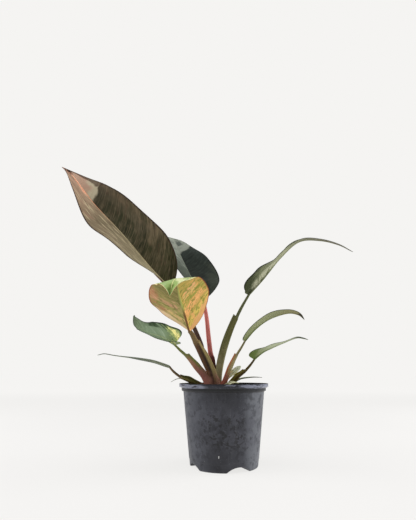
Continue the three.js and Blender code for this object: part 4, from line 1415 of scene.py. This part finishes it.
@dataclass(frozen=True)
class NurseryPot:
    """The moulded pot with its rolled rim, drain channels and arched foot."""

    steps: int = 224
    ledge_at: float = 10.0
    ledge: float = 0.35
    ledge_rise: float = 1.4
    tab_left: float = -56.5
    tab_right: float = 43.5
    tab_step: float = 1.1
    # A pale fleck: its middle and reach to the right and up, in metres
    fleck: Rows = ((-0.0084, 0.0006), (0.0205, 0.0019))
    # A dried water line: its middle, level, radius and width, in metres
    tide: Row = (0.0095, 0.0555, 0.0215, 0.0009)

    @staticmethod
    def wall_radius(height: float) -> float:
        """Outer radius of the plain wall at a height."""
        top = POT_HEIGHT - RIM_DEPTH - SHOULDER_DEPTH
        return FOOT_RADIUS + (WALL_TOP_RADIUS - FOOT_RADIUS) * height / top

    def profile(self) -> list[tuple[float, float]]:
        """The shell's outline.

        Returns:
            Its points, from the middle of the foot round the rim to the middle of the floor.
        """
        shoulder = POT_HEIGHT - RIM_DEPTH
        wall_top = shoulder - SHOULDER_DEPTH
        inner_rim = RIM_RADIUS - 2 * RIM_ROUND
        low, high = self.ledge_at, self.ledge_at + self.ledge_rise
        return rounded([
            (0, 0, 0),
            (FOOT_RADIUS - self.ledge, 0, FOOT_ROUND),
            (self.wall_radius(low) - self.ledge, low, 0.3),
            (self.wall_radius(high), high, 0.3),
            (WALL_TOP_RADIUS, wall_top, 0.8),
            (SHOULDER_RADIUS, wall_top + 0.9, 0.7),
            (SHOULDER_RADIUS, shoulder, 0.4),
            (RIM_RADIUS, shoulder + 0.4, 1.0),
            (RIM_RADIUS, POT_HEIGHT, 1.1),
            (inner_rim, POT_HEIGHT, 1.0),
            (inner_rim - 0.4, POT_HEIGHT - 2.2, 0.6),
            (SHOULDER_RADIUS - POT_WALL, shoulder, 1.2),
            (SHOULDER_RADIUS - POT_WALL, wall_top + POT_WALL, 0.8),
            (WALL_TOP_RADIUS - POT_WALL, wall_top, 0.8),
            (self.wall_radius(POT_WALL) - POT_WALL, POT_WALL, 1.6),
            (0, POT_WALL, 0),
        ])

    def shape(self, point: Vector) -> Vector:
        """Lifts the foot over the channels and sets the rim back beside its front tab.

        Args:
            point: A point of the plain turned shell, in millimetres.
        Returns:
            The point in its place.
        """
        x, y, z = point
        z = lifted(x, y, z)
        radius = math.hypot(x, y)
        if point.z > POT_HEIGHT - RIM_DEPTH - 0.5 and radius > SHOULDER_RADIUS - 0.5:
            out = smooth((radius - SHOULDER_RADIUS) / 3)
            beside = not self.tab_left < math.degrees(math.atan2(x, -y)) < self.tab_right
            wear = 0.12 * noise.noise(Vector((x, y, z)) * 0.25)
            share = (radius - (self.tab_step if beside else 0.0) * out + wear) / radius
            x *= share
            y *= share
            if beside and point.z < POT_HEIGHT - 2:
                z += 0.9 * out
        return Vector((x, y, z))

    def build(self) -> None:
        """Makes the pot and puts it in the place of its node."""
        mesh = spun(self.profile(), self.steps)
        for vert in mesh.verts:
            vert.co = self.shape(vert.co)
        shrink(mesh)
        for face in mesh.faces:
            face.normal_update()
            middle = face.calc_center_median()
            # Inward faces above the floor take a darker plastic as painted shade.
            inward = face.normal.x * middle.x + face.normal.y * middle.y < 0
            face.material_index = 1 if inward and middle.z > POT_WALL * MM else 0
        shell = piece_from("nursery_pot_fine", mesh, [self.dress(), self.dress_shaded_inside()])
        self.drill(shell)
        show(shell, "nursery_pot")

    @staticmethod
    def drill(shell: Piece) -> None:
        """Cuts the drain holes through the channels' roofs.

        Args:
            shell: The pot's object.
        """
        mesh = bmesh.new()
        for turn in CHANNEL_TURNS:
            at = Matrix.Translation((DRAIN_AT * math.sin(turn), -DRAIN_AT * math.cos(turn), CHANNEL_HEIGHT))
            bmesh.ops.create_cone(mesh, cap_ends=True, segments=DRAIN_STEPS, radius1=DRAIN_RADIUS,
                                  radius2=DRAIN_RADIUS, depth=2 * CHANNEL_HEIGHT, matrix=at)
        shrink(mesh)
        drills = piece_from("drills", mesh, [])
        cut = shell.modifiers.new("drain", "BOOLEAN")
        cut.operation = "DIFFERENCE"
        cut.solver = "EXACT"
        cut.object = drills
        bpy.context.view_layer.update()
        cut_shell = shell.evaluated_get(bpy.context.evaluated_depsgraph_get())
        data = bpy.data.meshes.new_from_object(cut_shell)
        shell.modifiers.clear()
        shell.data = data
        bpy.data.objects.remove(drills)

    def dress(self) -> Material:
        """Dark moulded plastic with dusty water stains, scuffs and a glossier rim, and painted sheen, shadow
        and shade.

        Returns:
            The material.
        """
        work = Finish("pot_plastic_skin", "1f2028")
        place = work.place()
        aside, depth, height = work.split(place)
        front = work.fall(depth, -0.02, -0.01)
        shoulder = (POT_HEIGHT - RIM_DEPTH) * MM
        top = POT_HEIGHT * MM
        cloud = work.grain(place, 26.0, 4.0, 0.6)
        mottle = work.grain(place, 120.0, 5.0, 0.64)
        # Painted sheen: the sides are made lighter, and the cloudy patches paler towards them.
        side = work.rise(work.off(aside, -0.002), 0.01, 0.047)
        work.lay(side, "383a42")
        work.lay(work.rise(cloud, 0.36, 0.64), work.blend(side, "303139", "4a4c54"))
        # Painted highlight: a lighter band down the right side.
        work.lay(work.rise(aside, 0.022, 0.035, 0.0, 0.7), "5e6167")
        patches = work.rise(work.grain(place, 70.0, 4.0, 0.66), 0.44, 0.56)
        belt = work.times(work.band(height, 0.022, 0.04, 0.07, 0.09), patches, 0.6)
        work.lay(belt, "43444d")
        work.lay(work.rise(mottle, 0.5, 0.62, 0.0, 0.55), "18181e")
        blots = work.rise(work.grain(place, 180.0, 3.0, 0.6), 0.52, 0.57, 0.0, 0.95)
        middle = work.times(work.fall(side, 0.2, 0.7), front, work.band(height, 0.024, 0.036, 0.066, 0.08))
        work.lay(work.times(middle, blots), "111116")
        dust = work.rise(work.grain(place, 60.0, 5.0, 0.7), 0.52, 0.75, 0.0, 0.4)
        work.lay(dust, "4f515a")
        scuff = work.grain(work.stretch(place, (260.0, 260.0, 14.0)), 1.0)
        work.lay(work.rise(scuff, 0.56, 0.74, 0.0, 0.22), "5a5b60")
        speck = work.rise(work.grain(place, 700.0, 2.0), 0.66, 0.74, 0.0, 0.5)
        work.lay(speck, "707174")
        work.lay(self.tide_mark(work, aside, height, front), "101015")
        across, up = (self.near(work, value, *row) for value, row in zip((aside, height), self.fleck))
        work.lay(work.times(across, up, front), "c9c9c6")
        # Painted shadow: a dark band on the shoulder just under the lip's overhang.
        painted_lip_shadow = work.band(height, shoulder - 0.0063, shoulder - 0.0037, shoulder - 0.0001, shoulder + 0.0003)
        work.lay(work.times(painted_lip_shadow, 0.85), "0f0f11")
        # The rim's pale streaks are wear, with more of them towards the sides as painted sheen.
        long = work.grain(work.stretch(place, (0.35, 0.35, 2.2)), 160.0, 4.0, 0.6)
        rim_wear_and_sheen = work.plus(long, work.rise(work.off(aside), 0.015, 0.04, -0.07, 0.1))
        rim_colour = work.blend(work.rise(rim_wear_and_sheen, 0.49, 0.6, 0.0, 0.9), "22232c", "7d8090")
        # Painted shade: the rim's top is darkened.
        rim_colour = work.blend(work.rise(height, top - 0.0008, top - 0.0003), rim_colour, "15161a")
        rim = work.rise(height, shoulder - 0.0001, shoulder + 0.0005)
        work.lay(work.times(rim, 0.9), rim_colour)
        dull = work.plus(work.rise(mottle, 0.35, 0.65, 0.42, 0.56), work.times(rim, -0.16))
        bumps = work.plus(work.times(work.grain(place, 1500.0, 2.0), 0.5), mottle)
        return work.surface(dull, bumps, 0.12, 0.3)

    @staticmethod
    def near(work: Finish, value: Value, middle: float, reach: float) -> Socket:
        """1 where a value is close to a middle and 0 past its reach."""
        return work.fall(work.off(value, middle), 0.6 * reach, reach)

    def tide_mark(self, work: Finish, aside: Socket, height: Socket, front: Socket) -> Socket:
        """A faint curved line where water once dried on the front.

        Args:
            work: The material under way.
            aside: Place to the right.
            height: Height.
            front: 1 on the front.
        Returns:
            How strongly it shows.
        """
        middle, level, radius, width = self.tide
        out = work.length(work.join(work.plus(aside, -middle), work.plus(height, -level)))
        return work.times(self.near(work, out, radius, width), work.fall(height, 0.038, 0.042), front, 0.6)

    @staticmethod
    def dress_shaded_inside() -> Material:
        """The same plastic inside, painted darker as the shade within the pot.

        Returns:
            The material.
        """
        work = Finish("pot_inside_painted_shade_skin", "0e0e0f")
        stain = work.grain(work.place(), 110.0, 4.0, 0.6)
        work.lay(work.rise(stain, 0.35, 0.65), "19191a")
        return work.surface(work.rise(stain, 0.3, 0.7, 0.6, 0.75), stain, 0.1, 0.3, 0.15)


@dataclass(frozen=True)
class PottingMix:
    """Damp bark and peat with pale crumbs, level with the shoulder's foot."""

    chips: int = 420
    crumbs: int = 90
    steps: int = 144
    seed: int = 11

    @staticmethod
    def edge_radius(height: float) -> float:
        """Radius of the mix at a height."""
        return NurseryPot.wall_radius(height) - POT_WALL - MIX_GAP

    @staticmethod
    def clod(x: float, y: float) -> float:
        """Height of the mix's clods above its level, in millimetres.

        Args:
            x: Place to the right.
            y: Place to the back.
        Returns:
            The height.
        """
        wide = math.sin(x / 5) * math.cos(y / 6)
        fine = math.sin(x / 2 + y / 3) * math.cos(y / 2.5 - x / 3.5)
        return 1.1 * (wide + fine) / 2 + 0.5 * noise.noise(Vector((x, y, 0)) * 0.4)

    def build(self) -> None:
        """Makes the mix and puts it in the place of its node."""
        foot, top = POT_WALL + MIX_GAP, MIX_TOP
        profile = rounded([
            (0, foot, 0), (self.edge_radius(foot), foot, 0), (self.edge_radius(top), top, 0.6), (0, top, 0),
        ])
        mesh = spun(profile, self.steps)
        for vert in mesh.verts:
            x, y, z = vert.co
            vert.co.z = z + self.clod(x, y) if z > top - 0.1 else lifted(x, y, z)
        self.scatter(mesh)
        shrink(mesh)
        show(piece_from("potting_mix_fine", mesh, [self.bark(), self.crumb()]), "potting_mix")

    def scatter(self, mesh: Mesh) -> None:
        """Lays bark chips and pale crumbs on the mix by a seeded draw.

        Args:
            mesh: The mix, in millimetres.
        """
        draw = random.Random(self.seed)
        edge = self.edge_radius(MIX_TOP) - 2
        for number in range(self.chips + self.crumbs):
            chip = number < self.chips
            turn = draw.uniform(0, 2 * math.pi)
            radius = edge * math.sqrt(draw.random())
            x, y = radius * math.sin(turn), radius * math.cos(turn)
            place = Matrix.Translation((x, y, MIX_TOP + self.clod(x, y) + draw.uniform(-0.3, 0.5)))
            lean = Matrix.Rotation(draw.uniform(-0.5, 0.5), 4, "X")
            lean @= Matrix.Rotation(draw.uniform(0, 6.3), 4, "Z")
            if chip:
                size = (draw.uniform(1.5, 5), draw.uniform(1, 2.6), draw.uniform(0.6, 1.4))
            else:
                size = (draw.uniform(0.9, 1.8),) * 3
            matrix = place @ lean @ Matrix.Diagonal((*size, 1))
            made = bmesh.ops.create_icosphere(mesh, subdivisions=1, radius=0.8, matrix=matrix)["verts"]
            for vert in made:
                vert.co += Vector([draw.uniform(-0.22, 0.22) for _ in range(3)])
            for face in {face for vert in made for face in vert.link_faces}:
                face.material_index = 0 if chip else 1

    @staticmethod
    def bark() -> Material:
        """Dark damp bark and peat.

        Returns:
            The material.
        """
        work = Finish("bark_skin", "1d1713")
        place = work.place()
        cloud = work.grain(place, 180.0, 4.0, 0.65)
        work.lay(work.rise(cloud, 0.35, 0.65), "3a2b20")
        fibre = work.grain(place, 900.0)
        work.lay(work.rise(fibre, 0.55, 0.75, 0.0, 0.6), "5c4633")
        return work.surface(work.rise(cloud, 0.3, 0.7, 0.7, 0.95), fibre, 0.3, 0.5)

    @staticmethod
    def crumb() -> Material:
        """Pale porous crumbs.

        Returns:
            The material.
        """
        work = Finish("crumb_skin", "b9b3a6")
        cloud = work.grain(work.place(), 700.0)
        work.lay(work.rise(cloud, 0.35, 0.7), "d9d5ca")
        return work.surface(work.rise(cloud, 0.3, 0.7, 0.8, 0.95), cloud, 0.2, 0.4)


@dataclass(frozen=True)
class Crown:
    """The short stem in the middle, ringed where old stalks stood."""

    steps: int = 56
    rings: int = 9

    def build(self) -> None:
        """Makes the crown and puts it in the place of its node."""
        foot, full = CROWN_FOOT, CROWN_RADIUS
        profile = rounded([
            (0, foot, 0), (0.75 * full, foot, 1), (full, foot + 22, 3), (full, foot + 41, 2),
            (0.7 * full, foot + 49, 1.5), (0.3 * full, foot + 57, 1), (0, CROWN_TOP, 0),
        ])
        mesh = spun(profile, self.steps)
        for vert in mesh.verts:
            share = (vert.co.z - foot) / (CROWN_TOP - foot)
            pinch = 1 - 0.05 * (0.5 + 0.5 * math.cos(2 * math.pi * self.rings * share))
            vert.co.x *= pinch
            vert.co.y *= pinch
        bmesh.ops.translate(mesh, verts=mesh.verts[:], vec=(*CROWN_AT, 0))
        shrink(mesh)
        show(piece_from("crown_stem_fine", mesh, [self.dress()]), "crown_stem")

    @staticmethod
    def dress() -> Material:
        """Pinkish brown skin with pale scars.

        Returns:
            The material.
        """
        work = Finish("crown_skin", "6a4338")
        place = work.place()
        cloud = work.grain(place, 150.0, 4.0)
        work.lay(work.rise(cloud, 0.35, 0.65), "9a6f5c")
        scar = work.grain(work.stretch(place, (60.0, 60.0, 700.0)), 1.0)
        work.lay(work.rise(scar, 0.5, 0.7, 0.0, 0.5), "b79a82")
        return work.surface(work.rise(cloud, 0.3, 0.7, 0.5, 0.65), scar, 0.3, 0.5)


@dataclass(frozen=True)
class Studio:
    """Camera at the photograph's angle, pale floor and soft light."""

    eye: Row = (-0.0221, -0.580, 0.1245)
    pitch: float = 7.7
    lens: float = 28.0
    shift_up: float = 60 / 520
    backdrop: str = "f5f4f2"
    fill: float = 0.22
    floor_size: float = 120.0
    sensor: float = 36.0
    nearest: float = 0.02
    aim: Row = (0, 0, 0.2)
    # Each lamp's name, place and width in metres, and power in watts
    lamps: tuple[tuple[str, Row, float, float], ...] = (
        ("left", (-1.3, 0.1, 0.6), 1.1, 18.0),
        ("right", (1.3, 0.15, 0.58), 1.1, 25.0),
        ("top", (-0.2, -0.4, 1.4), 1.3, 14.0),
    )

    def build(self) -> None:
        """Makes the camera, the floor, the lamps and the sky."""
        data = bpy.data.cameras.new("camera")
        data.lens = self.lens
        data.sensor_width = self.sensor
        data.shift_y = self.shift_up
        data.clip_start = self.nearest
        camera = linked("camera", data)
        camera.location = self.eye
        camera.rotation_euler = (math.radians(90 + self.pitch), 0, 0)
        scene = bpy.context.scene
        scene.camera = camera
        scene.view_settings.view_transform = "Standard"
        self.lay_floor()
        for lamp in self.lamps:
            self.light(*lamp)
        self.sky()
        LOG.info("studio: camera, floor and %d lamps", len(self.lamps))

    def lay_floor(self) -> None:
        """Makes the floor, which glows a little as a lit white sweep does."""
        mesh = bmesh.new()
        bmesh.ops.create_grid(mesh, x_segments=4, y_segments=4, size=self.floor_size / 2)
        work = Finish("floor_skin", "585757")
        place = work.place()
        work.lay(work.rise(work.grain(place, 3.0, 2.0), 0.3, 0.7), "5a5959")
        glow = work.rise(work.length(place), 0.4, 3.0, 0.85, 0.975)
        work.fill({"Base Color": work.colour, "Roughness": 1.0, "Specular IOR Level": 0.0,
                   "Emission Color": self.backdrop, "Emission Strength": glow})
        floor = piece_from("floor", mesh, [work.material])

    def light(self, name: str, at: Row, size: float, power: float) -> None:
        """Adds a soft square lamp that looks at the plant.

        Args:
            name: The lamp's name.
            at: Its place in metres.
            size: Its width in metres.
            power: Its power in watts.
        """
        data = bpy.data.lights.new(name, "AREA")
        data.size = size
        data.energy = power
        lamp = linked(name, data)
        lamp.visible_glossy = False
        lamp.location = at
        lamp.rotation_euler = (Vector(self.aim) - Vector(at)).to_track_quat("-Z", "Y").to_euler()

    def sky(self) -> None:
        """Lights evenly from all round, and shows the pale backdrop behind the plant."""
        world = bpy.data.worlds.new("studio")
        world.use_nodes = True
        nodes = world.node_tree.nodes
        shown = nodes["Background"]
        shown.inputs["Color"].default_value = tint(self.backdrop)
        lit = nodes.new("ShaderNodeBackground")
        lit.inputs["Color"].default_value = (1, 1, 1, 1)
        lit.inputs["Strength"].default_value = self.fill
        mix = nodes.new("ShaderNodeMixShader")
        ray = nodes.new("ShaderNodeLightPath")
        sources = (ray.outputs["Is Camera Ray"], lit.outputs[0], shown.outputs[0], mix.outputs[0])
        for source, goal in zip(sources, (*mix.inputs, nodes["World Output"].inputs["Surface"])):
            world.node_tree.links.new(source, goal)
        bpy.context.scene.world = world


def corners(box: tuple[Vector, Vector]) -> list[list[float]]:
    """A box as plain lists of numbers."""
    return [list(corner) for corner in box]


def main() -> None:
    """Builds the plant piece by piece, then the studio."""
    logging.basicConfig(level=logging.INFO, format="%(message)s")
    for part in (NurseryPot(), PottingMix(), Crown(), *LEAVES, *SMALL_LEAVES, Studio()):
        part.build()


if __name__ == "__main__":
    main()
